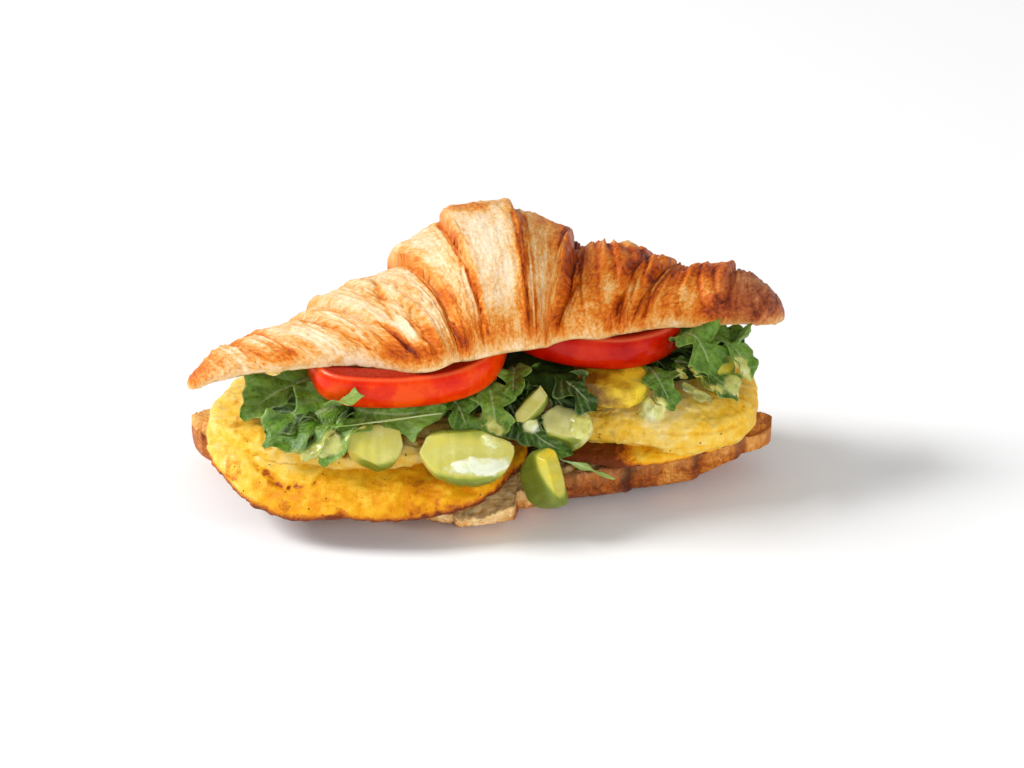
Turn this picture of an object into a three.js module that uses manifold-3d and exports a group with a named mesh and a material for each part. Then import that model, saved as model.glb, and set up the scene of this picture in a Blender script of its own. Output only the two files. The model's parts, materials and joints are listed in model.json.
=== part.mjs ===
// A breakfast sandwich on a croissant. From the bottom up: the lower half of the croissant, two
// folded omelettes side by side, a bed of arugula with avocado slices and green dressing, two thick
// tomato slices, and the upper half of the croissant, which droops over them at both ends.
//
// Millimetres, +Z up. The length runs along X, the open front faces -Y, and the base lies on Z = 0.

import * as THREE from "three";
import { mergeVertices } from "three/addons/utils/BufferGeometryUtils.js";
import Module from "manifold-3d";

const wasm = await Module();
wasm.setup();

// Driving dimensions
const HALF_LENGTH = 85; // from the croissant's middle to a tip
const GAP = 0.35; // air between pieces that touch
const CUT_HEIGHT = 12; // thickness of the lower half under the omelettes
const OMELETTE_TOP_LEFT = 27;
const OMELETTE_TOP_RIGHT = 31;
const TOP_HALF_HEIGHT = 54.4; // the upper half's cut face, at its middle

// Small shape functions
const clamp = (t) => Math.min(1, Math.max(0, t));
const ease = (t) => clamp(t) ** 2 * (3 - 2 * clamp(t));
const mix = (a, b, t) => a + (b - a) * t;
const bell = (x, width) => Math.exp(-((x / width) ** 2));
const degrees = (angle) => (angle * Math.PI) / 180;

// A smooth unevenness between -1 and 1, with lumps of about the given size.
function lumps(x, y, size, seed) {
  const u = (x / size) * Math.PI;
  const v = (y / size) * Math.PI;
  const first = Math.sin(u + 1.7 * Math.sin(v * 0.8 + seed) + seed * 2.1);
  const second = Math.sin(v * 1.1 + 1.3 * Math.sin(u * 0.7 - seed) - seed);
  return 0.5 * (first + second);
}

// A closed surface through rings of points, each end gathered to its ring's middle.
function loft(rings) {
  const count = rings[0].length;
  const points = rings.flat();
  const faces = [];
  for (let i = 0; i < rings.length - 1; i++) {
    for (let k = 0; k < count; k++) {
      const a = i * count + k;
      const b = i * count + ((k + 1) % count);
      faces.push(a, b, b + count, a, b + count, a + count);
    }
  }
  for (const [ring, start, first] of [
    [rings[0], 0, true],
    [rings.at(-1), (rings.length - 1) * count, false],
  ]) {
    const middle = new THREE.Vector3();
    for (const p of ring) middle.addScaledVector(p, 1 / count);
    const tip = points.push(middle) - 1;
    for (let k = 0; k < count; k++) {
      const a = start + k;
      const b = start + ((k + 1) % count);
      if (first) faces.push(tip, b, a);
      else faces.push(tip, a, b);
    }
  }
  const geometry = new THREE.BufferGeometry().setFromPoints(points);
  geometry.setIndex(faces);
  return geometry;
}

// A closed geometry with each of its points carried to a new place, and its seams welded.
function moulded(geometry, place) {
  geometry.deleteAttribute("normal");
  geometry.deleteAttribute("uv");
  const at = geometry.getAttribute("position");
  const p = new THREE.Vector3();
  for (let i = 0; i < at.count; i++) {
    p.fromBufferAttribute(at, i);
    p.copy(place(p.clone()));
    at.setXYZ(i, p.x, p.y, p.z);
  }
  return mergeVertices(geometry, 1e-3);
}

// Solids for cutting and joining
function solidOf(geometry) {
  const merged = mergeVertices(geometry.clone(), 1e-3);
  return new wasm.Manifold(
    new wasm.Mesh({
      numProp: 3,
      vertProperties: new Float32Array(merged.attributes.position.array),
      triVerts: new Uint32Array(merged.index.array),
    }),
  );
}

function geometryOf(solid) {
  const mesh = solid.getMesh();
  const geometry = new THREE.BufferGeometry();
  geometry.setAttribute(
    "position",
    new THREE.BufferAttribute(new Float32Array(mesh.vertProperties), 3),
  );
  geometry.setIndex(new THREE.BufferAttribute(new Uint32Array(mesh.triVerts), 1));
  return geometry;
}

// The largest of a solid's separate bodies, so that a cut leaves no scrap.
function largest(solid) {
  return solid
    .decompose()
    .reduce((a, b) => (b.volume() > a.volume() ? b : a));
}

function placed(geometry, { at = [0, 0, 0], turn = [0, 0, 0] }) {
  const matrix = new THREE.Matrix4().makeRotationFromEuler(
    new THREE.Euler(...turn.map(degrees), "ZYX"),
  );
  matrix.setPosition(...at);
  return geometry.clone().applyMatrix4(matrix);
}

// The croissant's halves. Each side is a run of rolled bands, each tucked under its inner neighbour.
// A band is [where it ends, its size where it starts, its size where it ends, how far it swells].
const UPPER_BANDS = {
  right: [
    [9.5, 27.3, 26.2, 0.3],
    [22, 24.4, 18.9, 0.4],
    [43, 14, 13.4, 2.9],
    [49.5, 12.9, 12.3, 0.2],
    [69.5, 9.6, 11.2, 0.4],
    [HALF_LENGTH, 9.5, 9.3, 0.3],
  ],
  left: [
    [8, 27.4, 26.2, 0.3],
    [19, 23.9, 19.3, 0.3],
    [31.5, 16, 14.8, 0.3],
    [41, 13.9, 11.6, 0.3],
    [47.5, 10.6, 8.4, 0.1],
    [59.5, 7.5, 6.9, 0.4],
    [68, 6.9, 5.7, 0.2],
    [HALF_LENGTH, 5.1, 5.1, 0],
  ],
};
const LOWER_BANDS = {
  right: [
    [10, 37, 33, 0.3],
    [26, 29, 24, 0.6],
    [47, 22.5, 19, 0.8],
    [65, 18, 13.5, 0.6],
    [74, 12.5, 9.5, 0.3],
    [81.5, 8.6, 8, 0],
  ],
  left: [
    [12, 37, 37, 0.3],
    [27, 36, 33, 0.5],
    [43, 31, 26, 0.6],
    [60, 24.5, 19, 0.5],
    [73, 17, 12.5, 0.3],
    [HALF_LENGTH, 11, 10.5, 0],
  ],
};
const STEP = 0.7; // how far along the crust one band drops to the next
const BAND_RINGS = 3; // rings of points along a short band, and two more along a long one
const BAND_LEAN = 8; // how far round the helix a band's edge leans, front to middle

// Where a band is at a distance q from the middle: its size there, measured as a radius.
function bandSize(bands, q) {
  let from = 0;
  for (const [to, first, last, swell] of bands) {
    if (q <= to) {
      const t = (q - from) / (to - from);
      const size = mix(first, last, t) + swell * Math.sin(Math.PI * t);
      if (to < bands.at(-1)[0]) return size;
      return size * Math.sqrt(Math.max(0, 1 - t ** 2.4));
    }
    from = to;
  }
  return 0;
}

// Distances from the middle at which a side has rings: evenly within a band, and close at each edge.
function ringPlaces(bands) {
  const places = [];
  let from = 0;
  for (const [to] of bands) {
    const start = from === 0 ? 0 : from + STEP;
    const rings = to - from > 12 ? BAND_RINGS + 2 : BAND_RINGS;
    for (let i = 0; i < rings; i++) places.push(mix(start, to, i / (rings - 1)));
    from = to;
  }
  places[places.length - 1] = from - 0.15;
  return places;
}

// A half of the croissant, along X with its cut face at Z = 0. section(size, x) gives the ring of
// [y, z] round it, and bend(x) how far the middle line lies from the X axis there, as [y, z].
function croissantHalf(bands, section, bend) {
  const rings = [];
  const add = (sign, q, size) => {
    const lean = BAND_LEAN * ease(q / 30) * (1 - ease((q - 55) / 30));
    const centre = sign * q;
    rings.push(
      section(size, centre).map(([y, z]) => {
        const x = centre - (sign * lean * -y) / Math.max(size, 1e-6);
        const [dy, dz] = bend(x);
        return new THREE.Vector3(x, y + dy, z + dz);
      }),
    );
  };
  for (const q of ringPlaces(bands.left).reverse()) add(-1, q, bandSize(bands.left, q));
  for (const q of ringPlaces(bands.right).slice(1)) add(1, q, bandSize(bands.right, q));
  return loft(rings);
}

// The upper half: a dome of crust over an arched cut face.
const UPPER = {
  width: 1.15, // half width of a section for each unit of its size
  hollow: 1.5, // how far the cut face arches up inside its rim
  crumb: 0.5, // unevenness of the torn crumb
  domeSteps: 18,
  faceSteps: 7,
};

// How the upper half's middle line lies over the filling. Both arms droop, the left one settles in
// front of the middle, and it tips towards the front where it rests on the tomato.
const upperDroop = (x) => 0.0019 * x * x + 0.4 * ease((-x - 50) / 12) + 1.4 * ease((-x - 77) / 7);
const upperSag = (x) =>
  3.4 * bell(x + 29, 15) + 1.1 * bell(x + 52, 12) +
  1.6 * bell(x - 35, 15) + 1.2 * bell(x - 28, 5) + 1.6 * bell(x - 54, 11);
const upperBend = (x) => [-4.6 * bell(x + 45, 24), -upperDroop(x) - upperSag(x)];
const upperTip = (x) => 0.07 * ease((-x - 5) / 20);

// How far the front of the arms bulges beyond the back, and how far the middle draws back
const upperBulge = (x) =>
  0.3 * bell(x + 34, 20) + 0.26 * bell(x + 37, 10) - 0.12 * bell(x - 1, 11) +
  0.2 * bell(x - 24, 7) + 0.14 * bell(x - 34, 18) + 0.25 * bell(x - 51, 7);

function upperSection(size, x, grow) {
  const half = size * UPPER.width + grow;
  const front = half * (1 + upperBulge(x));
  const ring = [];
  for (let k = 0; k < UPPER.domeSteps; k++) {
    const a = (Math.PI * k) / UPPER.domeSteps;
    const uneven = 1 + 0.02 * lumps(x, a * 20, 9, 1) * Math.sin(a);
    const reach = Math.cos(a) < 0 ? front : half;
    ring.push([reach * Math.cos(a), (size + grow) * Math.sin(a) ** 0.9 * uneven - grow]);
  }
  for (let k = 0; k < UPPER.faceSteps; k++) {
    const across = (2 * k) / UPPER.faceSteps - 1;
    const y = across * (across < 0 ? front : half);
    const arch = UPPER.hollow * (1 - across ** 6) * ease(size / 6);
    ring.push([y, arch + UPPER.crumb * lumps(x, y, 11, 3) * ease(3 - 3 * Math.abs(across)) - grow]);
  }
  return ring.map(([y, z]) => [y, z + upperTip(x) * y]);
}

function upperHalf(grow = 0) {
  const section = (size, x) => upperSection(size, x, grow);
  const shape = croissantHalf(UPPER_BANDS, section, upperBend);
  return placed(shape, { at: [0, -4, TOP_HALF_HEIGHT], turn: [5.7, -2.6, 9.7] });
}

// The lower half: a shallow boat of crust with a flat underside. Its middle bulges to the front, its
// tips lie further back and lift, the right one more, and the omelette presses its front rim down.
const LOWER = {
  depth: CUT_HEIGHT + 1.2, // to just below the base, where the underside is cut flat
  faceSteps: 8,
  wallSteps: 13,
};
const lowerMiddle = (x) => -5 + 9 * (x / HALF_LENGTH) ** 2;
const lowerLift = (x) =>
  x < 0
    ? 7.5 * clamp((-x - 20) / (HALF_LENGTH - 20)) ** 2.3
    : 3 * ease((x - 14) / 22) + 6.5 * ease((x - 60) / 18);

// How far the omelette presses the front rim down at a place.
const rimSag = (x, y) => 5.4 * ease((-y - 25) / 18) * bell(x + 22, 46);

// The lower half's cut face
const cutFace = (x, y) => CUT_HEIGHT + 2.5 * (x / HALF_LENGTH) ** 2 - rimSag(x, y);

function lowerHalf(grow = 0) {
  const section = (size, x) => {
    const half = size + grow;
    const middle = lowerMiddle(x);
    const ring = [];
    for (let k = 0; k < LOWER.faceSteps; k++) {
      const y = half * (1 - (2 * k) / LOWER.faceSteps);
      ring.push([y, cutFace(x, y + middle) + grow]);
    }
    const front = cutFace(x, middle - half) + grow;
    const back = cutFace(x, middle + half) + grow;
    for (let k = 0; k < LOWER.wallSteps; k++) {
      const a = (Math.PI * k) / LOWER.wallSteps;
      const top = mix(front, back, k / LOWER.wallSteps);
      const y = -half * Math.sign(Math.cos(a)) * Math.abs(Math.cos(a)) ** 0.85;
      const depth = Math.min(LOWER.depth, 3 + size * 0.8) * Math.sin(a) ** 0.75;
      const z = top - depth * (top / CUT_HEIGHT);
      ring.push([y, Math.max(z, Math.min(lowerLift(x), top - 3))]);
    }
    return ring;
  };
  return croissantHalf(LOWER_BANDS, section, (x) => [lowerMiddle(x), 0]);
}

// The folded omelettes. Each is two flaps of egg, soft-edged slabs that lie one over the other and
// are joined at the back, with the fold's open edge to the front.
function flap({ centre, radii, under, top, rimShare, square, ragged, seed }, grow = 0) {
  return moulded(new THREE.SphereGeometry(1, 32, 10), (p) => {
    const height = p.y; // the sphere's poles are along Y
    const round = Math.hypot(p.x, p.z);
    const angle = Math.atan2(p.z, p.x);
    const corner =
      (Math.abs(Math.cos(angle)) ** square + Math.abs(Math.sin(angle)) ** square) **
      (-1 / square);
    const edge = 1 + ragged * lumps(20 * Math.cos(angle), 20 * Math.sin(angle), 9, seed);
    const reach = round ** 0.8 * corner * edge;
    const x = centre[0] + (radii[0] + grow) * reach * Math.cos(angle);
    const y = centre[1] - (radii[1] + grow) * reach * Math.sin(angle);
    const low = under(x, y) - grow;
    const high = top(x, y) + grow;
    const rim = mix(low, high, rimShare);
    const share = Math.sign(height) * Math.abs(height) ** 0.62;
    const z = share > 0 ? mix(rim, high, share) : mix(rim, low, -share);
    return new THREE.Vector3(x, y, z);
  });
}

const onCutFace = (x, y) => cutFace(x, y) + GAP;

const LEFT_LOWER_FLAP = {
  centre: [-33.5, -9.5],
  radii: [45.5, 39],
  under: (x, y) => onCutFace(x, y) - 4.2 * ease((-y - 22) / 16) * ease((-x - 38) / 18),
  top: (x, y) => 21.5 - 0.008 * Math.max(0, -y - 22) ** 2 + 0.5 * lumps(x, y, 10, 2),
  rimShare: 0.3,
  square: 2.2,
  ragged: 0.02,
  seed: 4,
};
const LEFT_UPPER_FLAP = {
  centre: [-37, -4],
  radii: [40.5, 32.5],
  under: () => 16,
  top: (x, y) => OMELETTE_TOP_LEFT - 0.6 + 0.5 * lumps(x, y, 12, 5),
  rimShare: 0.42,
  square: 2.2,
  ragged: 0.04,
  seed: 7,
};
const RIGHT_LOWER_FLAP = {
  centre: [43, 3],
  radii: [30, 27],
  under: onCutFace,
  top: (x, y) => 19.5 + 0.4 * lumps(x, y, 10, 6),
  rimShare: 0.45,
  square: 2.3,
  ragged: 0.03,
  seed: 3,
};
const RIGHT_UPPER_FLAP = {
  centre: [45.5, 4],
  radii: [31.5, 26.5],
  under: (x) => 15.5 - 1.5 * ease((x - 40) / 25),
  top: (x, y) => OMELETTE_TOP_RIGHT - 0.6 + 0.5 * lumps(x, y, 12, 8),
  rimShare: 0.4,
  square: 2.4,
  ragged: 0.03,
  seed: 9,
};

function omelette(lower, upper, grow = 0) {
  return solidOf(flap(lower, grow)).add(solidOf(flap(upper, grow)));
}

// The omelettes' top, as the salad finds it
const omeletteTop = (x) => mix(OMELETTE_TOP_LEFT, OMELETTE_TOP_RIGHT, ease(x / 14));

// The tomato slices: thick rounds with a band of skin, leaning towards the front. A tomato isn't
// quite round: each of its lobes is [the direction it faces, how far it stands out].
const TOMATO = { thickness: 9.8, barrel: 1.1, edge: 0.9, sides: 30, lobeWidth: 26 };
const TOMATO_LEFT = {
  radius: 28,
  at: [-22.3, -4.5, 38.2],
  turn: [7, -3.4, 0],
  lobes: [[-135, 0.12], [-42, 0.09]],
};
const TOMATO_RIGHT = {
  radius: 24.8,
  at: [31.2, 6.6, 41.4],
  turn: [3.4, 4.2, 0],
  lobes: [[-158, 0.06], [-134, 0.1]],
};

function tomatoSlice({ radius, at, turn, lobes }, grow = 0) {
  const { thickness, barrel, edge, sides } = TOMATO;
  const profile = [new THREE.Vector2(0, -grow)];
  const skinSteps = 5;
  for (let i = 0; i <= skinSteps; i++) {
    const t = i / skinSteps;
    const inset = edge * (1 - Math.sqrt(Math.max(0, 1 - Math.abs(2 * t - 1) ** 6)));
    const bulge = barrel * (1 - (2 * t - 1) ** 2);
    profile.push(
      new THREE.Vector2(
        radius - barrel + bulge - inset + grow,
        mix(-grow, thickness + grow, t),
      ),
    );
  }
  profile.push(new THREE.Vector2(0, thickness + grow));
  const slice = moulded(new THREE.LatheGeometry(profile, sides), (p) => {
    const facing = THREE.MathUtils.radToDeg(Math.atan2(-p.z, p.x));
    let uneven = 1 + 0.012 * lumps(p.x * 0.6, p.z * 0.6, 9, radius);
    for (const [direction, amount] of lobes) {
      const away = THREE.MathUtils.euclideanModulo(facing - direction + 180, 360) - 180;
      uneven += amount * bell(away, TOMATO.lobeWidth);
    }
    return new THREE.Vector3(p.x * uneven, -p.z * uneven, p.y);
  });
  return placed(slice, { at, turn });
}

// The avocado slices: crescents cut from a peeled half, thick at the outer side and thin at the pit.
const AVOCADO = [
  { at: [-30.5, -37, 25.6], turn: [46, 0, 6], length: 16, width: 13, thickness: 5.5 },
  { at: [-5.5, -39.5, 24.2], turn: [48, 4, 4], length: 27, width: 16, thickness: 6 },
  { at: [15.6, -36.5, 15.8], turn: [81.8, 57.2, -56.3], length: 17, width: 14, thickness: 8 },
  { at: [21.5, -27.5, 27.2], turn: [32, 8, -10], length: 15, width: 12, thickness: 7 },
  { at: [35, -17.5, 36.2], turn: [12, 3, 6], length: 22, width: 17, thickness: 7.5 },
  { at: [63, -10.5, 36.2], turn: [42, 6, 16], length: 13, width: 13, thickness: 7 },
  { at: [12.5, -26.5, 33.5], turn: [45, -44, 22], length: 13, width: 7, thickness: 4.5 },
  { at: [-34, 24, 30.5], turn: [-14, 0, -8], length: 28, width: 15, thickness: 5.5 },
  { at: [42, 24, 35.2], turn: [-10, 0, 10], length: 28, width: 15, thickness: 6 },
];

function avocadoSlice({ at, turn, length, width, thickness }, grow = 0) {
  const slice = moulded(new THREE.SphereGeometry(1, 10, 9), (p) => {
    const along = Math.asin(THREE.MathUtils.clamp(p.y, -1, 1)) / (Math.PI / 2);
    const taper = Math.sqrt(Math.max(0, 1 - Math.abs(along) ** 2.6));
    const round = Math.max(Math.hypot(p.x, p.z), 1e-6);
    const across = -p.x / round;
    const up = p.z / round;
    const wide = Math.sign(across) * Math.abs(across) ** 0.55 * taper;
    const thin = mix(0.62, 1, 0.5 - 0.5 * across);
    const tall = Math.sign(up) * Math.abs(up) ** 0.4 * Math.sqrt(taper) * thin;
    return new THREE.Vector3(
      along * (length / 2 + grow),
      wide * (width / 2 + grow) + 0.22 * width * along * along,
      tall * (thickness / 2 + grow),
    );
  });
  return placed(slice, { at, turn });
}

// The arugula: a bed between the omelettes and the tomatoes, with leaves that hang out of it.
// Each leaf's midrib runs from inside the bed, over a point that it bends towards, to its tip.
const LEAF_THICKNESS = 0.8;
const LEAVES = [
  { from: [-34, -10, 32], over: [-50, -12, 41], to: [-68, -22, 27.5], width: 21, roll: -34 },
  { from: [-34, -18, 32], over: [-44, -27, 35], to: [-61, -34, 24.5], width: 17, roll: -28 },
  { from: [-36, -18, 31], over: [-43, -33, 32], to: [-50, -39, 22.8], width: 10, roll: 0 },
  { from: [-28, -20, 32], over: [-36, -36, 32], to: [-45, -41, 22.6], width: 11, roll: 0 },
  { from: [-38, -20, 32], over: [-36, -33, 32], to: [-11, -30, 34], width: 18, roll: 50 },
  { from: [-14, -16, 34], over: [-7, -30, 38], to: [-5, -34, 28], width: 13, roll: 0 },
  { from: [0, -12, 36], over: [1, -27, 39], to: [3, -31, 25], width: 13, roll: 6 },
  { from: [8, -8, 37], over: [7, -21, 43], to: [7, -25, 35], width: 10, roll: 12 },
  { from: [18, -12, 36], over: [22, -24, 41], to: [30, -25.5, 31.5], width: 13, roll: 10 },
  { from: [10, -16, 34], over: [9, -33, 29], to: [26, -32, 24], width: 11, roll: 50 },
  { from: [40, -8, 37], over: [45, -22, 42], to: [51, -24.5, 31], width: 11, roll: 8 },
  { from: [48, -2, 37], over: [57, -9, 59], to: [64, -16, 33], width: 19, roll: 4 },
  { from: [50, 0, 37], over: [67, -6, 53], to: [73.5, -11, 34], width: 11, roll: 10 },
  { from: [50, -6, 37], over: [62, -16, 42], to: [69, -20, 32], width: 10, roll: 6 },
  { from: [-34, 8, 32], over: [-48, 18, 38], to: [-58, 26, 27.5], width: 15, roll: 8 },
  { from: [-20, 12, 33], over: [-20, 26, 40], to: [-22, 35, 29], width: 15, roll: -10 },
  { from: [6, 10, 36], over: [7, 26, 42], to: [10, 35, 31], width: 14, roll: 6 },
  { from: [24, 10, 37], over: [26, 28, 42], to: [20, 35, 33], width: 14, roll: -8 },
  { from: [46, 8, 37], over: [58, 18, 44], to: [64, 29, 33], width: 16, roll: 8 },
  { from: [-38, -22, 33], over: [-46, -35, 38], to: [-33, -35.5, 40.5], width: 9, roll: 20 },
  { from: [56, -2, 36], over: [72, -4, 42], to: [73, -9, 48.5], width: 9, roll: 0 },
];

// A leaf's half width along it, with arugula's rounded lobes and deep bays.
function leafOutline(t, width) {
  const blade = Math.sin(Math.PI * clamp(0.06 + 0.9 * t) ** 1.25);
  const lobes = 0.72 + 0.28 * Math.cos(2 * Math.PI * (2.6 * t - 0.1));
  const end = Math.sqrt(clamp((1 - t) * 9));
  return (width / 2) * clamp(blade * lobes + 0.06) * mix(0.2, 1, end);
}

function leaf({ from, over, to, width, roll }, index) {
  const steps = 6;
  const points = [from, over, to].map((p) => new THREE.Vector3(...p));
  const midrib = new THREE.QuadraticBezierCurve3(...points);
  const heading = points[2].clone().sub(points[0]).setZ(0).normalize();
  const level = new THREE.Vector3(-heading.y, heading.x, 0);
  return moulded(new THREE.BoxGeometry(1, 1, 1, steps, 2, 1), (p) => {
    const t = p.x + 0.5;
    const along = midrib.getTangent(t);
    const side = level.clone().addScaledVector(along, -level.dot(along)).normalize();
    side.applyAxisAngle(along, degrees(roll));
    const normal = new THREE.Vector3().crossVectors(along, side);
    const across = 2 * p.y;
    const half = leafOutline(t, width);
    const curl = 0.18 * half * across * across;
    const wave = 0.7 * Math.sin(9 * t + index) * across;
    return midrib
      .getPoint(t)
      .addScaledVector(side, across * half)
      .addScaledVector(normal, curl + wave + p.z * LEAF_THICKNESS);
  });
}

// The bed's top follows the undersides of the two tomato slices.
function bedTop(x, y) {
  const left = 37.6 + 0.12 * (y + 4.5) + 0.05 * Math.min(0, x + 23);
  const right = 41.4 + 0.05 * (y - 6) - 0.07 * Math.max(0, x - 31);
  return mix(left, right, ease((x - 2) / 7));
}

function arugulaBed() {
  return moulded(new THREE.SphereGeometry(1, 32, 6), (p) => {
    const angle = Math.atan2(p.z, p.x);
    const edge = 1 + 0.07 * lumps(20 * Math.cos(angle), 20 * Math.sin(angle), 5, 2);
    const reach = Math.hypot(p.x, p.z) ** 0.7 * edge;
    const x = 6 + 55 * reach * Math.cos(angle);
    const y = -1.5 - reach * Math.sin(angle) * (22 - 3.5 * reach * Math.cos(angle));
    const low = omeletteTop(x) + GAP;
    const high = bedTop(x, y) - GAP;
    const rim = mix(low, high, 0.5);
    const share = Math.sign(p.y) * Math.abs(p.y) ** 0.55;
    return new THREE.Vector3(x, y, share > 0 ? mix(rim, high, share) : mix(rim, low, -share));
  });
}

// The green dressing: thick spoonfuls that lie on the avocado and the salad.
const DRESSING = [
  { at: [-2, -44, 22.8], radii: [8, 3.2, 2], turn: [48, 4, 4] },
  { at: [25.6, -31.2, 28], radii: [3.4, 6.4, 1.9], turn: [48, 8, -10] },
  { at: [45.6, -24, 32.4], radii: [4.6, 3, 3.8], turn: [0, 0, 0] },
];

function dollop({ at, radii, turn }) {
  const blob = moulded(new THREE.SphereGeometry(1, 12, 8), (p) => {
    const uneven = 1 + 0.07 * lumps(p.x * 9 + p.y * 6, p.z * 9, 7, at[0]);
    return new THREE.Vector3(p.x * radii[0], p.z * radii[1], -p.y * radii[2]).multiplyScalar(
      uneven,
    );
  });
  return placed(blob, { at, turn });
}

// Materials
const plain = (color, roughness) =>
  new THREE.MeshStandardMaterial({ color, roughness, metalness: 0 });
const crust = plain(0xd68a3c, 0.55);
const lowerCrust = plain(0xb96a2a, 0.6);
const egg = plain(0xeeb732, 0.6);
const tomato = plain(0xcf2f0c, 0.25);
const avocado = plain(0xbdbb4e, 0.45);
const arugula = plain(0x55802c, 0.5);
const dressing = plain(0xcfcf8a, 0.3);

// Assembly
const sandwich = new THREE.Group();
sandwich.name = "breakfast_sandwich";

function add(name, geometry, material) {
  const mesh = new THREE.Mesh(geometry, material);
  mesh.name = name;
  sandwich.add(mesh);
  return mesh;
}

const outside = (solid, others) => largest(others.reduce((s, other) => s.subtract(other), solid));

add("croissant_bottom", lowerHalf(), lowerCrust);
add("croissant_top", upperHalf(), crust);

const bread = [solidOf(lowerHalf(GAP)), solidOf(upperHalf(GAP))];
add("tomato_left", geometryOf(outside(solidOf(tomatoSlice(TOMATO_LEFT)), bread)), tomato);
add("tomato_right", geometryOf(outside(solidOf(tomatoSlice(TOMATO_RIGHT)), bread)), tomato);
const tomatoes = [TOMATO_LEFT, TOMATO_RIGHT].map((t) => solidOf(tomatoSlice(t, GAP)));

const leftEgg = largest(omelette(LEFT_LOWER_FLAP, LEFT_UPPER_FLAP));
const leftEggRoom = omelette(LEFT_LOWER_FLAP, LEFT_UPPER_FLAP, GAP);
const rightEgg = outside(omelette(RIGHT_LOWER_FLAP, RIGHT_UPPER_FLAP), [leftEggRoom]);
const rightEggRoom = omelette(RIGHT_LOWER_FLAP, RIGHT_UPPER_FLAP, GAP);
add("omelette_left", geometryOf(outside(leftEgg, bread)), egg);
add("omelette_right", geometryOf(outside(rightEgg, bread)), egg);

const around = [...bread, ...tomatoes, leftEggRoom, rightEggRoom];
const avocadoRoom = [];
AVOCADO.forEach((slice, i) => {
  const body = outside(solidOf(avocadoSlice(slice)), [...around, ...avocadoRoom]);
  add(`avocado_${i + 1}`, geometryOf(body), avocado);
  avocadoRoom.push(solidOf(avocadoSlice(slice, GAP)));
});

const dressingRoom = [];
DRESSING.forEach((spoonful, i) => {
  const body = outside(solidOf(dollop(spoonful)), [...around, ...avocadoRoom]);
  add(`dressing_${i + 1}`, geometryOf(body), dressing);
  const radii = spoonful.radii.map((r) => r + 2 * GAP);
  dressingRoom.push(solidOf(dollop({ ...spoonful, radii })));
});

const salad = LEAVES.reduce((bed, row, i) => bed.add(solidOf(leaf(row, i))), solidOf(arugulaBed()));
add("arugula", geometryOf(outside(salad, [...around, ...avocadoRoom, ...dressingRoom])), arugula);

// The origin is the middle of the sandwich's outline, at its base.
const bounds = new THREE.Box3().setFromObject(sandwich, true);
const middle = bounds.getCenter(new THREE.Vector3());
sandwich.position.set(-middle.x, -middle.y, -bounds.min.z);

export default sandwich;
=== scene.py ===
import json
import math

import bmesh
import bpy
import numpy as np
from mathutils import Euler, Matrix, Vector
from mathutils.bvhtree import BVHTree

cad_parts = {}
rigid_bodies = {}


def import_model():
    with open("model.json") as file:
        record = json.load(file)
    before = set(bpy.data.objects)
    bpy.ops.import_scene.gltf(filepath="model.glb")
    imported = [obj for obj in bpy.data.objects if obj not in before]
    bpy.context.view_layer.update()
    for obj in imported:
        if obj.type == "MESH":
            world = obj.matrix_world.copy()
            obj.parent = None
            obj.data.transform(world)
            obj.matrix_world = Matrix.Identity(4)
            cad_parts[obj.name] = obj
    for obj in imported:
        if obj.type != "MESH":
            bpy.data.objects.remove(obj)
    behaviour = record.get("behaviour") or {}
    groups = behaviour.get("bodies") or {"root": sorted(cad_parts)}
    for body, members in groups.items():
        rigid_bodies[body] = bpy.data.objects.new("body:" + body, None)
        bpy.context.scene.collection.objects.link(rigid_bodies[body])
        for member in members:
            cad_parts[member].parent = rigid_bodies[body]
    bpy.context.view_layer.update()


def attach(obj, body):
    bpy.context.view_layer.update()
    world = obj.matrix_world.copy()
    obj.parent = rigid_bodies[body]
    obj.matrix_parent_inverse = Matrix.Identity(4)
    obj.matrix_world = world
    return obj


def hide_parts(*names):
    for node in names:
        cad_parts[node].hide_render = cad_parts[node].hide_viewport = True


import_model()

# The view of the sandwich: from its open front, a little above, through a long lens, so that both
# tips of the croissant and the whole filling show.
MM = 0.001
VIEW_TARGET = Vector((7.1, 6.3, 27.8)) * MM
VIEW_ELEVATION = math.radians(25)
VIEW_DISTANCE = 0.8

camera = bpy.data.objects.new("camera", bpy.data.cameras.new("camera"))
camera.data.lens = 99.3
camera.data.sensor_width = 36
camera.data.clip_start = 0.01
towards_viewer = Vector((0, -math.cos(VIEW_ELEVATION), math.sin(VIEW_ELEVATION)))
camera.location = VIEW_TARGET + towards_viewer * VIEW_DISTANCE
camera.rotation_euler = towards_viewer.to_track_quat("Z", "Y").to_euler()
bpy.context.scene.collection.objects.link(camera)
bpy.context.scene.camera = camera

# The lower half of the croissant: a shallow boat of laminated dough, rolled in bands that get
# smaller towards the tips, baked brown and sliced level. Its cut edge is paler than its crust.
# Like every piece here it is laid out in millimetres from the croissant's own middle.
SHIFT = np.array([0.3185, 6.3266, 0.0])  # from the croissant's middle to the middle of the outline
HALF_LENGTH = 85.0
CUT_HEIGHT = 12.0
BAND_LEAN = 8.0  # how far a band's edge leans towards the middle at the front
STEADY_FROM = 78.0  # distance from the middle beyond which the bands' edges don't waver
LOWER_BANDS = {  # outer end of each band, its radius at both ends, and how far it swells between
    1: [(10, 37, 33, 0.3), (26, 29, 24, 0.6), (47, 22.5, 19, 0.8), (65, 18, 13.5, 0.6),
        (74, 12.5, 9.5, 0.3), (81.5, 8.6, 8, 0)],
    -1: [(12, 37, 37, 0.3), (27, 36, 33, 0.5), (43, 31, 26, 0.6), (60, 24.5, 19, 0.5),
         (73, 17, 12.5, 0.3), (HALF_LENGTH, 11, 10.5, 0)],
}


def ease(t):
    """From 0 to 1 as t goes from 0 to 1, with soft ends."""
    t = np.clip(t, 0, 1)
    return t * t * (3 - 2 * t)


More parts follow.
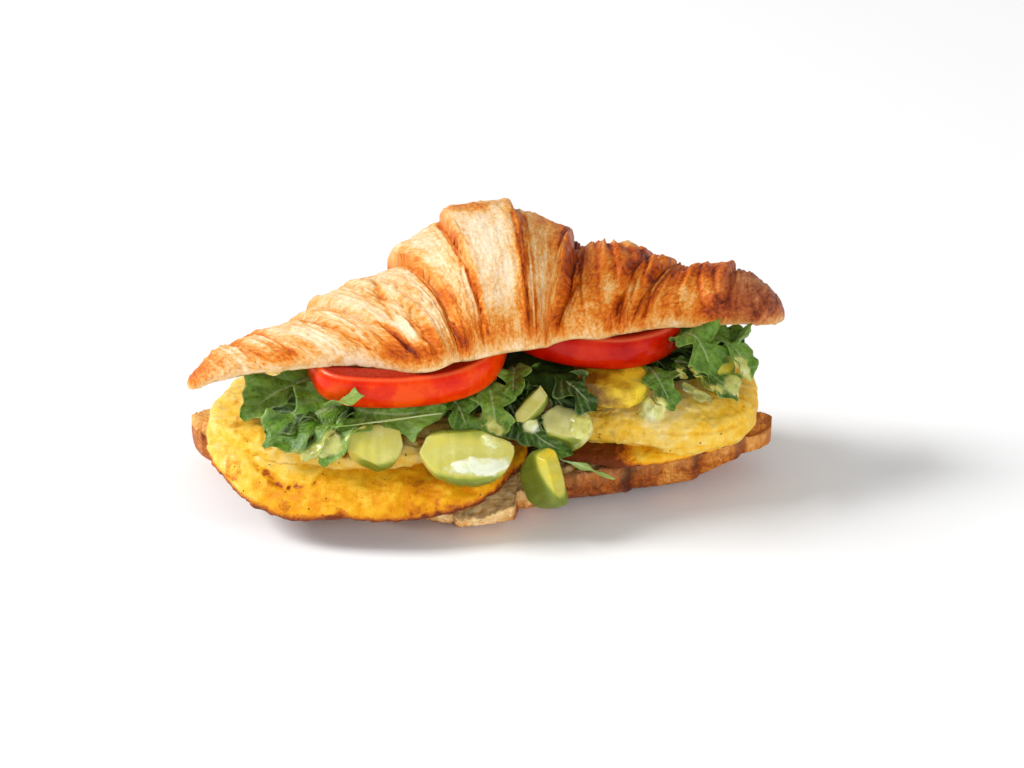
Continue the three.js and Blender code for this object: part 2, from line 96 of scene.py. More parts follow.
def bell(x, width):
    """1 where x is 0, and hardly anything beyond twice the width."""
    return np.exp(-((x / width) ** 2))


def mix(a, b, t):
    return a + (b - a) * t


def grain(u, v=0.0, w=0.0, seed=0):
    """Smooth random values between -1 and 1, one lump to each whole step of u, v and w."""
    u, v, w = np.broadcast_arrays(*(np.asarray(x, dtype=float) for x in (u, v, w)))
    corner = [np.floor(x).astype(np.int64) for x in (u, v, w)]
    part = [x - c for x, c in zip((u, v, w), corner)]
    part = [p * p * p * (p * (p * 6 - 15) + 10) for p in part]
    total = np.zeros(u.shape)
    for step in np.ndindex(2, 2, 2):
        key = (corner[0] + step[0]) * 73856093 ^ (corner[1] + step[1]) * 19349663
        key = (key ^ (corner[2] + step[2]) * 83492791 ^ (seed + 7) * 2654435761) & 0xFFFFFFFF
        key = ((key ^ (key >> 15)) * 2246822519) & 0xFFFFFFFF
        key = ((key ^ (key >> 13)) * 3266489917) & 0xFFFFFFFF
        value = ((key ^ (key >> 16)) & 0xFFFF) / 32767.5 - 1
        for p, d in zip(part, step):
            value = value * (p if d else 1 - p)
        total += value
    return total


def pushed(points, height):
    """A grid of points moved out of the surface by a height in millimetres at each point."""
    ahead = np.gradient(points, axis=0)
    beside = np.roll(points, -1, axis=1) - np.roll(points, 1, axis=1)
    out = np.cross(beside, ahead)
    out /= np.maximum(np.linalg.norm(out, axis=2, keepdims=True), 1e-9)
    if np.sum(out * (points - points.mean(axis=(0, 1)))) < 0:
        out = -out
    return points + out * height[..., None]


def turned(points, degrees):
    """Points turned about X, then Y, then Z."""
    return points @ np.array(Euler([math.radians(d) for d in degrees]).to_matrix()).T


def lay_down(name, shells, finish, slot, *nodes):
    """Makes one piece of the sandwich from closed shells. A shell is a grid of rings of points in
    millimetres, and traits of those points, such as how far they are baked."""
    points, faces, traits = [], [], {}
    start = 0
    for rings, values in shells:
        count, around = rings.shape[:2]
        here = np.concatenate([rings.reshape(-1, 3), [rings[0].mean(axis=0), rings[-1].mean(axis=0)]])
        i, k = np.meshgrid(np.arange(count - 1), np.arange(around), indexing="ij")
        a = (i * around + k).ravel()
        b = (i * around + (k + 1) % around).ravel()
        quads = np.stack([a, b, b + around, a + around], axis=1)
        k = np.arange(around)
        first, edge = count * around, (count - 1) * around
        near = np.stack([np.full(around, first), (k + 1) % around, k], axis=1)
        far = np.stack([np.full(around, first + 1), edge + k, edge + (k + 1) % around], axis=1)
        corners = here[np.concatenate([quads[:, :3], quads[:, [0, 2, 3]], near, far])] - here.mean(axis=0)
        if np.sum(np.cross(corners[:, 0], corners[:, 1]) * corners[:, 2]) < 0:
            quads, near, far = quads[:, ::-1], near[:, ::-1], far[:, ::-1]
        points.append(here)
        faces += (quads + start).tolist() + (near + start).tolist() + (far + start).tolist()
        for trait, value in values.items():
            value = np.broadcast_to(value, (count, around) + value.shape[2:]).reshape(count, around, -1)
            ends = [value[0].mean(axis=0), value[-1].mean(axis=0)]
            traits.setdefault(trait, []).append(np.concatenate([value.reshape(count * around, -1), ends]))
        start += len(here)
    mesh = bpy.data.meshes.new(name)
    mesh.from_pydata(((np.concatenate(points) + SHIFT) * MM).tolist(), [], faces)
    for trait, values in traits.items():
        values = np.concatenate(values)
        kind, field = ("FLOAT", "value") if values.shape[1] == 1 else ("FLOAT_VECTOR", "vector")
        mesh.attributes.new(trait, kind, "POINT").data.foreach_set(field, values.ravel())
    mesh.shade_smooth()
    mesh.materials.append(finish)
    piece = bpy.data.objects.new(name, mesh)
    bpy.context.scene.collection.objects.link(piece)
    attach(piece, "root")
    if nodes:
        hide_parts(*nodes)
    return piece


class Channel:
    """One output among a finish's nodes. Arithmetic on channels adds Math nodes."""

    def __init__(self, finish, socket):
        self.finish = finish
        self.socket = socket

    def worked(self, operation, a, b):
        return self.finish.node("ShaderNodeMath", {"operation": operation}, {0: a, 1: b})

    def __add__(self, other):
        return self.worked("ADD", self, other)

    def __sub__(self, other):
        return self.worked("SUBTRACT", self, other)

    def __mul__(self, other):
        return self.worked("MULTIPLY", self, other)

    def __radd__(self, other):
        return self.worked("ADD", other, self)

    def __rsub__(self, other):
        return self.worked("SUBTRACT", other, self)

    def __rmul__(self, other):
        return self.worked("MULTIPLY", other, self)

    def between(self, low, high):
        """0 below low, 1 above high, and an even slope from one to the other."""
        return self.finish.node("ShaderNodeMapRange", {"clamp": True}, {0: self, 1: low, 2: high})


class Finish:
    """A material while its nodes are put together."""

    def __init__(self, name):
        self.material = bpy.data.materials.new(name)
        self.material.use_nodes = True
        self.surface = self.material.node_tree.nodes["Principled BSDF"]

    def node(self, kind, settings, inputs, output=0):
        made = self.material.node_tree.nodes.new(kind)
        for key, value in settings.items():
            setattr(made, key, value)
        for key, value in inputs.items():
            self.feed(made.inputs[key], value)
        return Channel(self, made.outputs[output])

    def feed(self, socket, value):
        if isinstance(value, Channel):
            self.material.node_tree.links.new(value.socket, socket)
        elif isinstance(value, tuple) and socket.type == "RGBA":
            socket.default_value = (*value, 1)
        else:
            socket.default_value = value

    def coat(self, inputs):
        """Feeds the surface itself."""
        for name, value in inputs.items():
            self.feed(self.surface.inputs[name], value)

    def soften(self, share, colour, depth):
        """Lets a share of the light into the food, as deep as depth in millimetres times colour."""
        self.coat({
            "Subsurface Weight": share,
            "Subsurface Radius": colour,
            "Subsurface Scale": depth * MM,
        })

    def trait(self, name):
        return self.node("ShaderNodeAttribute", {"attribute_name": name}, {}, 2)

    def place(self, name, scales=(1.0, 1.0, 1.0)):
        where = self.node("ShaderNodeAttribute", {"attribute_name": name}, {}, 1)
        return self.node("ShaderNodeVectorMath", {"operation": "MULTIPLY"}, {0: where, 1: scales})

    def noise(self, where, scale, detail=3.0, roughness=0.55):
        inputs = {"Vector": where, "Scale": scale, "Detail": detail, "Roughness": roughness}
        return self.node("ShaderNodeTexNoise", {}, inputs)

    def cells(self, where, scale):
        return self.node("ShaderNodeTexVoronoi", {}, {"Vector": where, "Scale": scale}, "Distance")

    def colours(self, share, stops):
        colour = self.node("ShaderNodeValToRGB", {}, {0: share})
        ramp = colour.socket.node.color_ramp
        while len(ramp.elements) < len(stops):
            ramp.elements.new(0.5)
        for element, (place, shown) in zip(ramp.elements, stops):
            element.position = place
            element.color = (*shown, 1)
        return colour

    def blend(self, share, a, b):
        return self.node("ShaderNodeMix", {"data_type": "RGBA"}, {0: share, 6: a, 7: b}, 2)

    def raised(self, height, distance, strength):
        inputs = {"Height": height, "Distance": distance * MM, "Strength": strength}
        return self.node("ShaderNodeBump", {}, inputs)


def crust_finish(name, tones, tip_brown_and_shade_tones):
    """Egg-washed crust: pale in the folds, golden to brown where the oven caught it, with streaks
    that run round the roll, and a faint gloss on the browner parts. Its bake trait also
    holds painted shade in tucks and creases and a painted highlight on pleats, and the tip's duller
    tones are partly painted shade. The cut face is open crumb."""
    crust = Finish(name)
    streaks = crust.noise(crust.place("roll", (1.0, 0.13, 1.0)), 1.2, 4.0, 0.62)
    blotches = crust.noise(crust.place("roll", (0.25, 0.17, 1.0)), 1.0, 3.0)
    specks = crust.noise(crust.place("roll", (1.0, 0.75, 1.0)), 1.25, 5.0, 0.72)
    dots = crust.noise(crust.place("roll", (1.0, 0.8, 1.0)), 2.6, 2.0, 0.6).between(0.6, 0.68)
    tone = crust.trait("bake") + (streaks - 0.5) * 0.35 + (blotches - 0.5) * 0.45 + (specks - 0.5)
    tone = tone + dots * 0.12
    shell = crust.colours(tone, tones)
    # towards the right tip: duller, darker tones, partly painted shade
    shell = crust.blend(crust.trait("tip") * 0.85, shell, crust.colours(tone, tip_brown_and_shade_tones))
    crumb = crust.trait("crumb")
    pores = crust.noise(crust.place("roll", (0.5, 1.6, 1.0)), 0.5, 4.0, 0.6)
    dough = crust.colours(pores + (specks - 0.5) * 0.3, [
        (0.3, (0.50, 0.22, 0.05)), (0.45, (0.76, 0.45, 0.15)), (0.6, (0.88, 0.66, 0.34)),
        (0.8, (0.93, 0.78, 0.52)),
    ])
    height = streaks * 0.5 + specks * 0.5 + pores * crumb * 0.8
    crust.coat({
        "Base Color": crust.blend(crumb, shell, dough),
        "Roughness": 0.55 - tone.between(0.2, 0.8) * 0.17 + crumb * 0.25,
        "Normal": crust.raised(height, 0.7, 0.6),
        "Specular IOR Level": 0.22,
    })
    crust.soften(0.08, (1.0, 0.4, 0.15), 1.2)
    return crust.material


CRUST_TONES = [(0.0, (0.92, 0.68, 0.38)), (0.22, (0.82, 0.46, 0.14)), (0.42, (0.62, 0.22, 0.025)),
               (0.6, (0.40, 0.095, 0.006)), (0.8, (0.20, 0.036, 0.002)), (1.0, (0.09, 0.014, 0.001))]
lower_crust = crust_finish("lower_crust", CRUST_TONES, CRUST_TONES)


def rolled_bands(bands, q):
    """At distances q from the middle: the roll's radius, how near the outer lip of its band q is,
    how deep in the tuck behind that lip, and how far into its band."""
    q = np.minimum(q, bands[-1][0] - 0.05)
    size, lip, tuck, since = (np.zeros_like(q) for _ in range(4))
    start = 0.0
    for number, (end, first, last, swell) in enumerate(bands):
        final = number == len(bands) - 1
        t = np.clip((q - start) / (end - start), 0, 1)
        here = mix(first, last, t) + swell * np.sin(np.pi * t)
        if final:
            here = here * np.sqrt(np.maximum(0, 1 - t**2.4))
        else:
            here = here + 0.5 * bell(end - 1.6 - q, 1.4) - 1.0 * bell(end - q, 0.45)
            lip = lip + bell(q - end + 0.8, 1.1)
            tuck = tuck + bell(q - end - 0.5, 0.8)
        if number:
            here = here - 0.6 * bell(q - start, 0.9)
        inside = (q >= start) & (q <= end)
        size = np.where(inside, here, size)
        since = np.where(inside, q - start if number else 20, since)
        start = end
    return size, lip, tuck, since


def both_arms(bands, places, wander=0.0):
    """rolled_bands for both arms at once, at places from tip to tip, with wavering band edges."""
    q = np.maximum(np.abs(places) + wander, 0)
    pairs = zip(rolled_bands(bands[-1], q), rolled_bands(bands[1], q))
    return [np.where(places < 0, left, right) for left, right in pairs]


def ring_places(bands, spacing):
    """Places from tip to tip for the rings of points round the roll."""
    right = np.arange(0, bands[1][-1][0] - 0.1, spacing)
    left = np.arange(spacing, bands[-1][-1][0] - 0.1, spacing)
    return np.concatenate([-left[::-1], right])


def smoothed(values, width):
    """A row of values averaged along it, over a width in steps."""
    reach = int(3 * width)
    weights = bell(np.arange(-reach, reach + 1), width * 1.4)
    return np.convolve(np.pad(values, reach, mode="edge"), weights / weights.sum(), mode="valid")


def band_lean(x):
    """How far the bands lean at the front there. They stand straight at the middle and the tips."""
    q = np.abs(x)
    return np.sign(x) * BAND_LEAN * ease(q / 30) * (1 - ease((q - 55) / 30))


def layers_behind_lip(since, spacing, wavering):
    """The dough's thin layers, which show as lines behind the outer lip of a band."""
    return np.sin(2 * np.pi * since / spacing + wavering) * np.exp(-since / 4)


def lower_middle(x):
    """The curve of the lower half, seen from above."""
    return -5 + 9 * (x / HALF_LENGTH) ** 2


def rim_sag(x, y):
    """How far the omelette presses the front rim down."""
    return 5.4 * ease((-y - 25) / 18) * bell(x + 22, 46)


def cut_face(x, y):
    """Height of the lower half's cut face."""
    return CUT_HEIGHT + 2.5 * (x / HALF_LENGTH) ** 2 - rim_sag(x, y)


def underside_lift(x):
    """How far the lower half's underside rises from the floor towards its tips."""
    left = 7.5 * np.clip((-x - 20) / (HALF_LENGTH - 20), 0, 1) ** 2.3
    return np.where(x < 0, left, 3 * ease((x - 14) / 22) + 6.5 * ease((x - 60) / 18))


def open_crumb(x, y):
    """Holes and thin sheets of the dough, in the cut face."""
    holes = 0.7 * grain(x / 2.2, y / 2.2, 0, 27) + 0.6 * grain(x / 5, y / 5, 0, 28)
    return holes - 0.6 * np.abs(grain(x / 7, y / 1.2, 0, 29)) - 0.4


def lower_half():
    # The rolled bands, from the front rim under the loaf to the back rim.
    spacing, face_steps, wall_steps = 0.42, 40, 96
    places = ring_places(LOWER_BANDS, spacing)
    x = places[:, None]
    q = np.abs(x)
    a = (np.pi * np.arange(wall_steps) / wall_steps)[None, :]
    plain = both_arms(LOWER_BANDS, places)[0][:, None]
    around = plain * a
    wander = 0.7 * grain(around / 7, np.sign(x), 0, 20) * ease((STEADY_FROM - q) / 6)
    size, lip, tuck, since = both_arms(LOWER_BANDS, x + 0 * a, wander)
    size = mix(plain, size, ease(np.sin(a) * 2.5))
    middle = lower_middle(x)

    # Its right arm is browned, and less pleated than the left.
    browned = ease((x - 16) / 8)
    pleats = mix(0.9, 0.55, browned) * (0.5 - np.abs(grain(x / 3.1, around / 18, 0, 21)))
    streaks = grain(x / 1.2, around / 7, 0, 22)
    layers = layers_behind_lip(since, 1.9, 2 * grain(around / 8, x / 30, 0, 23))
    knobs = np.maximum(0, grain(x / 1.8, around / 2, 0, 24) - 0.25)
    relief = pleats + 0.28 * streaks + 0.3 * layers + 0.5 * knobs
    relief = relief * ease(np.sin(a) * 4 + 0.25)
    rough_rim = 0.9 * grain(x / 1.9, around / 3, 0, 25) + 0.5 * grain(x / 0.8, 0, 0, 26)
    rough_rim = rough_rim * bell(np.sin(a), 0.3)

    # The wall round it, and the cut face with its open crumb.
    front, back = cut_face(x, middle - plain), cut_face(x, middle + plain)
    top = mix(front, back, a / np.pi)
    y_wall = -(size + relief) * np.sign(np.cos(a)) * np.abs(np.cos(a)) ** 0.85
    depth = np.minimum(CUT_HEIGHT + 1.2, 3 + plain * 0.8) * np.sin(a) ** 0.75
    lowest = np.minimum(underside_lift(x), top - 3)
    z_wall = np.maximum(top + rough_rim - depth * (top / CUT_HEIGHT), lowest)
    y_face = plain * (1 - 2 * np.arange(face_steps)[None, :] / face_steps)
    near_edge = ease((plain - np.abs(y_face)) / 2.5)
    z_face = cut_face(x, y_face + middle) + open_crumb(x, y_face) * near_edge
    z_face = z_face + 2 * ease((q - 68) / 9) * (1 - (y_face / np.maximum(plain, 1e-3)) ** 2)
    y = np.concatenate([y_face, y_wall], axis=1)
    z = np.maximum(np.concatenate([z_face, z_wall], axis=1), 0)
    rings = np.stack([x + band_lean(x) * y / np.maximum(plain, 1e-3), y + middle, z], axis=2)

    # How far each place is baked, and where pale crumb shows, with painted shade in the tucks.
    rim = np.maximum(bell(a, 0.2), bell(np.pi - a, 0.2))
    # paler on the pleats' ridges and darker in their grooves: partly painted highlight and shade
    bake = 0.46 + mix(0.22, 0.02, ease((x - 48) / 12)) * browned + 0.08 * streaks - 0.15 * pleats
    # the tucks behind the lips are darkened: painted shade
    bake = bake + 0.3 * lip + mix(0.25, 0.1, browned) * tuck + 0.3 * knobs
    bake = bake - 0.25 * rim * (1 - browned) * ease((x + 76) / 6)
    bake = bake - 0.2 * bell(x - 2, 14) * ease(2 - a) + 0.14 * bell(x + 83, 8)
    face_rim = browned * np.maximum(1 - near_edge * 0.75, ease((x - 55) / 10))
    face_bake = 0.3 + mix(0.45, 0.25, ease((x - 62) / 8)) * face_rim
    face_crumb = 1 - 0.95 * np.maximum(face_rim, ease((-x - 74) / 5))
    rim_crumb = (0.75 - 0.6 * browned) * rim * ease((x + 78) / 6)
    return rings, {
        "bake": np.concatenate([face_bake, bake], axis=1),
        "crumb": np.concatenate([face_crumb, rim_crumb], axis=1),
        "tip": 0 * y,
        "roll": np.stack([x + 0 * y, np.concatenate([y_face, around + 60], axis=1), 0 * y], axis=2),
    }


lay_down("croissant_lower_half", [lower_half()], lower_crust, "crust_base", "croissant_bottom")

# The omelettes: two soft omelettes of beaten egg, fried until their skin browned in places and
# folded over once, so that each shows two flaps with a crease between them at the front.
GAP = 0.35  # between one layer of the sandwich and the next


def lumps(x, y, size, seed):
    """Soft bumps between -1 and 1."""
    u, v = x / size * np.pi, y / size * np.pi
    return 0.5 * (np.sin(u + 1.7 * np.sin(0.8 * v + seed) + 2.1 * seed)
                  + np.sin(1.1 * v + 1.3 * np.sin(0.7 * u - seed) - seed))


def flap(centre, radii, under, top, rim_share, square, ragged, seed, fluff, creases=(), bulge=0):
    """One flap of egg, a soft-edged slab, with fluffy lumps as high as fluff. A crease runs round
    its front, at a height between two places along it. The right end's front bulges forwards."""
    rows, around = 104, 400
    climb = np.linspace(-1.53, 1.53, rows)[:, None]
    angle = (2 * np.pi * np.arange(around) / around)[None, :]
    corner = (np.abs(np.cos(angle)) ** square + np.abs(np.sin(angle)) ** square) ** (-1 / square)
    edge = 1 + ragged * lumps(20 * np.cos(angle), 20 * np.sin(angle), 9, seed)
    reach = np.cos(climb) ** 0.8 * corner * edge
    x = centre[0] + radii[0] * reach * np.cos(angle)
    y = centre[1] - radii[1] * reach * np.sin(angle)
    y = y - bulge * ease((x - 42) / 14) * ease((centre[1] - y) / 12)
    low, high = under(x, y), top(x, y)
    rim = mix(low, high, rim_share)
    share = np.sign(climb) * np.abs(np.sin(climb)) ** 0.62
    z = np.where(share > 0, mix(rim, high, share), mix(rim, low, -share))
    rings = np.stack([x, y, z], axis=2)
    soft = grain(x / 9, y / 9, z / 7, seed) + 0.5 * grain(x / 4.5, y / 4.5, z / 3, seed + 1)
    curds = 0.5 - np.abs(grain(x / 3.8, y / 3.8, z / 3, seed + 2))
    small = 0.3 * grain(x / 1.9, y / 1.9, z / 1.7, seed + 3) + 0.16 * grain(x, y, z, seed + 4)
    pits = np.maximum(0, grain(x / 1.3, y / 1.3, z / 1.2, seed + 5) - 0.35)
    height = fluff * (0.6 * soft + 0.5 * curds + small) - 0.8 * pits
    for level, first, last in creases:
        wavering = level + 0.5 * grain(x / 6, level, seed, 62) + 0.2 * grain(x / 1.5, level, seed, 63)
        inside = ease((x - first) / 4) * ease((last - x) / 4) * (y < centre[1])
        height = height - 0.75 * bell(z - wavering, 0.35) * inside
    skin = grain(x / 5, y / 5, z / 4, seed + 6) + 0.5 * grain(x / 1.7, y / 1.7, z / 1.7, seed + 7)
    return pushed(rings, height), height, ease((skin - 0.42) / 0.3), (z - low) / np.maximum(high - low, 1)


def egg_shell(rings, height, skin, pale, brown):
    """A flap with its traits: how pale the egg is, and how far its skin browned, at each point, with
    painted shade in its dips.
    """
    # browner in dips, pits and creases and paler on lumps: painted shade
    brown = np.clip(skin * 0.4 + brown - 0.25 * np.minimum(height, 0), 0, 1.2)
    return rings, {"pale": pale + 0.15 * height, "brown": brown, "egg": rings}


def egg_finish():
    egg = Finish("fried_egg")
    place = egg.place("egg")
    cloud = egg.noise(place, 0.3, 4.0, 0.65)
    fine = egg.noise(place, 1.5, 5.0, 0.7)
    pale = egg.trait("pale") + (cloud - 0.5) * 1.3 + (fine - 0.5) * 0.6
    body = egg.colours(pale, [(0.0, (0.74, 0.26, 0.002)), (0.25, (0.80, 0.37, 0.004)),
                              (0.5, (0.86, 0.50, 0.03)), (0.75, (0.88, 0.60, 0.11)),
                              (1.0, (0.90, 0.70, 0.27))])
    browned = (egg.trait("brown") + (fine - 0.5) * 0.7 + (cloud - 0.5) * 0.4).between(0.25, 1.0)
    skin = egg.colours(browned + (fine - 0.5) * 0.3, [
        (0.2, (0.76, 0.30, 0.004)), (0.5, (0.56, 0.16, 0.004)), (0.85, (0.30, 0.06, 0.004)),
        (1.0, (0.16, 0.03, 0.004)),
    ])
    body = egg.blend(browned.between(0.0, 0.35), body, skin)
    grains = (0.14 - egg.cells(place, 0.45)).between(0.0, 0.03)
    pepper = grains * egg.noise(place, 0.42, 0.0).between(0.5, 0.52)
    egg.coat({
        "Base Color": egg.blend(pepper * 0.85, body, (0.10, 0.05, 0.015)),
        "Roughness": 0.45 + (fine - 0.5) * 0.2,
        "Normal": egg.raised(fine * 0.8 + cloud, 0.8, 0.5),
        "Specular IOR Level": 0.22,
    })
    egg.soften(0.15, (1.0, 0.5, 0.05), 1.6)
    return egg.material


fried_egg = egg_finish()
LEFT_FLAP_TOP = 21.5


def above_hanging_edge(x, z):
    """How far a place on the lower flap is above the edge that the upper flap hangs down to."""
    return z - LEFT_FLAP_TOP + 6 * bell(x + 54, 11) + 0.9 * grain(x / 2.6, 0, 0, 64)


def left_omelette():
    """The lower flap droops over the croissant's front rim. The upper flap hangs down over it at
    the left, with scorched specks along its edge."""
    rings, height, skin, rise = flap(
        (-33.5, -9.5), (45.5, 39),
        lambda x, y: cut_face(x, y) + GAP - 4.2 * ease((-y - 22) / 16) * ease((-x - 38) / 18),
        lambda x, y: LEFT_FLAP_TOP - 0.008 * np.maximum(0, -y - 22) ** 2 + 0.5 * lumps(x, y, 10, 2),
        rim_share=0.3, square=2.2, ragged=0.02, seed=4, fluff=0.9,
    )
    x, y, z = np.moveaxis(rings, 2, 0)
    groove = bell(above_hanging_edge(x, z), 0.5) * bell(x + 54, 11) * (y < -20)
    rings = pushed(rings, -0.7 * groove)
    x, y, z = np.moveaxis(rings, 2, 0)
    above = above_hanging_edge(x, z)
    pale = 0.15 + 0.5 * ease((-x - 55) / 18) + 0.2 * bell(x + 38, 9)
    pale = pale + 0.5 * ease(above / 1.2) * bell(x + 56, 13)
    specks = bell(above + 0.2, 0.45) * bell(x + 54, 10) * (0.9 + 0.9 * grain(x, 0, 0, 65))
    brown = 1.15 * bell(rise - 0.15, 0.22) + 0.2 * bell(x + 5, 12) + specks
    lower = egg_shell(rings, height, skin, pale, brown)

    rings, height, skin, rise = flap(
        (-37, -4), (40.5, 32.5), lambda x, y: 16 + 0 * x, lambda x, y: 26.4 + 0.5 * lumps(x, y, 12, 5),
        rim_share=0.42, square=2.2, ragged=0.04, seed=7, fluff=0.9,
    )
    x, y, z = np.moveaxis(rings, 2, 0)
    # more orange on the left front wall that hangs down: painted shade
    pale = 0.8 - 0.35 * bell(x + 62, 7) * bell(y + 22, 8) - 0.1 * ease((-x - 60) / 8)
    brown = 0.75 * bell(rise - 0.12, 0.12) * ease((x + 50) / 8)
    return [lower, egg_shell(rings, height, skin, pale, brown)]


def right_omelette():
    """The upper flap bulges forwards over the lower one, with three fine creases round its front."""
    rings, height, skin, rise = flap(
        (42, 2), (31.5, 28.5), lambda x, y: cut_face(x, y) + GAP,
        lambda x, y: 19.5 + 0.4 * lumps(x, y, 10, 6),
        rim_share=0.45, square=2.6, ragged=0.03, seed=3, fluff=0.6, bulge=-3,
    )
    brown = 1.1 * ease((46 - rings[..., 0]) / 14) + 1.6 * bell(rise, 0.34)
    lower = egg_shell(rings, height, skin, 0.4, brown)

    rings, height, skin, rise = flap(
        (45.5, 4), (31.5, 26.5),
        lambda x, y: np.maximum(mix(15.5, 13, ease((x - 44) / 12)), cut_face(x, y) + GAP),
        lambda x, y: 30.4 + 0.5 * lumps(x, y, 12, 8),
        rim_share=0.4, square=2.4, ragged=0.03, seed=9, fluff=0.7,
        creases=[(18.8, 30, 64), (21.2, 38, 58), (23.4, 44, 72)], bulge=2.2,
    )
    x = rings[..., 0]
    pale = 0.82 + 0.1 * rise - 0.25 * bell(x - 60, 8)
    pale = pale - 0.25 * ease((50 - x) / 12) - 0.3 * ease((x - 62) / 8)
    brown = 0.9 * bell(rise, 0.08) * ease((50 - x) / 10) - 0.2 * ease(rise * 3)
    brown = brown + 1.1 * bell(rise, 0.1) * ease((x - 54) / 8)
    return [lower, egg_shell(rings, height, skin, pale, brown)]


lay_down("folded_omelette_left", left_omelette(), fried_egg, "egg", "omelette_left")
lay_down("folded_omelette_right", right_omelette(), fried_egg, "egg", "omelette_right")

# The arugula: a heap of fresh leaves between the omelettes and the tomatoes. Each leaf has a pale
# midrib, side veins and rounded lobes, and hangs over the egg where nothing holds it.
LEAVES = [  # the midrib's start in the heap, the point it bends over, its tip; width; roll; tone; fan
    ((-34, -10, 32), (-50, -12, 41), (-68, -22, 27.5), 21, -34, 0.15, 0),
    ((-34, -18, 32), (-44, -27, 35), (-61, -34, 24.5), 20, -28, 0.1, 1),
    ((-36, -18, 31), (-43, -33, 32), (-50, -39, 22.8), 10, 0, 0.45, 0),
    ((-28, -20, 32), (-36, -36, 32), (-45, -41, 22.6), 11, 0, 0.6, 0),
    ((-38, -20, 32), (-36, -33, 32), (-11, -30, 34), 18, 50, 0.35, 0),
    ((-14, -16, 34), (-7, -30, 38), (-5, -34, 28), 13, 0, -0.1, 0),
    ((0, -12, 36), (1, -27, 39), (3, -31, 25), 13, 6, 0.5, 1),
    ((8, -8, 37), (7, -21, 43), (7, -25, 35), 10, 12, 0.1, 0),
    ((18, -12, 36), (22, -24, 41), (30, -25.5, 31.5), 13, 10, -0.9, 0),
    ((10, -16, 33), (8, -33, 26.5), (23.5, -33, 22.4), 10, 50, -0.5, 0),
    ((44, -10, 38), (47, -22, 42), (51, -24.5, 31), 11, 8, 0, 0),
    ((48, -2, 37), (57, -9, 59), (64, -16, 33), 19, 4, 0.2, 0),
    ((50, 0, 37), (67, -6, 53), (73.5, -11, 34), 11, 10, 0.25, 0),
    ((50, -6, 37), (62, -16, 42), (69, -20, 32), 10, 6, -0.2, 0),
    ((-34, 8, 32), (-48, 18, 38), (-58, 26, 27.5), 15, 8, 0, 0),
    ((-20, 12, 33), (-20, 26, 40), (-22, 35, 29), 15, -10, 0.3, 0),
    ((6, 10, 36), (7, 26, 42), (10, 35, 31), 14, 6, -0.3, 0),
    ((24, 10, 37), (26, 28, 42), (20, 35, 33), 14, -8, 0.2, 0),
    ((46, 8, 37), (58, 18, 44), (64, 29, 33), 16, 8, 0, 0),
    ((-38, -22, 33), (-46, -35, 38), (-33, -35.5, 40.5), 9, 20, 0.8, 0),
    ((56, -2, 36), (72, -4, 42), (73, -9, 48.5), 9, 0, 0.15, 0),
    ((-40, -20, 32), (-50, -24, 35), (-60, -30, 26), 15, -20, -0.9, 0),
    ((-34, -20, 31), (-40, -28, 33), (-47, -34, 25.5), 12, 10, -0.9, 0),
    ((50, 2, 36), (62, 2, 44), (72, -3, 40), 14, 60, -0.2, 0),
    # a nearly black leaf in painted shade, filling a gap in the heap
    ((3, -12, 33), (6, -25, 33), (11, -29, 24), 14, 0, -1.1, 0),
    ((-12, -31.5, 33.8), (-26, -36, 33.8), (-41, -37, 32.2), 0.75, 0, 2.4, 0),
    ((15, -12, 35), (18, -21, 36), (22, -24, 29), 12, 0, -1, 0),
]
LEAF_THICKNESS = 0.45


def midrib_line(t, start, over, tip, roll):
    """The midrib's points and length, and the directions along it, across the blade and out of it."""
    start, over, tip = (np.array(p, dtype=float) for p in (start, over, tip))
    midrib = (1 - t) ** 2 * start + 2 * t * (1 - t) * over + t**2 * tip
    along = 2 * (1 - t) * (over - start) + 2 * t * (tip - over)
    length = np.linalg.norm(along, axis=1).mean()
    along /= np.linalg.norm(along, axis=1, keepdims=True)
    level = np.array([start[1] - tip[1], tip[0] - start[0], 0.0])
    side = level / np.linalg.norm(level) + 0 * along
    side -= along * np.sum(side * along, axis=1, keepdims=True)
    side /= np.linalg.norm(side, axis=1, keepdims=True)
    up = np.cross(along, side)
    roll = math.radians(roll)
    across = side * math.cos(roll) + up * math.sin(roll)
    return midrib, length, along, across, up * math.cos(roll) - side * math.sin(roll)


def lobed_rim(t, s, length, width, seed):
    """Distance from the midrib to the rim, with rounded lobes and fine teeth."""
    blade = np.sin(np.pi * np.clip(0.06 + 0.9 * t, 0, 1) ** 1.25)
    lobes = 0.7 + 0.3 * np.cos(2 * np.pi * (2.6 * t - 0.1 + 0.1 * np.sign(s) * np.sin(seed)))
    lobes = mix(lobes, 0.95, 0.5 * ease(3 * t - 1.9))
    teeth = 1 + 0.16 * grain(t * length / 1.6, np.sign(s) * 3, seed, 50) * ease(8 * t)
    end = mix(0.2, 1, np.sqrt(np.clip((1 - t) * 9, 0, 1)))
    return width / 2 * np.clip(blade * lobes + 0.06, 0, 1) * end * teeth


def vein_beat(from_start, out, fan, seed):
    """1 on each side vein and 0 between two. With fan 1 they spread from the stalk."""
    branching = (from_start - np.abs(out) * 0.9) / 3.6 + 0.35 * grain(from_start / 5, out / 4, seed, 53)
    spreading = np.arctan2(out, from_start * 0.8 + 1) * 3.6
    return 0.5 + 0.5 * np.cos(2 * np.pi * mix(branching, spreading, fan))


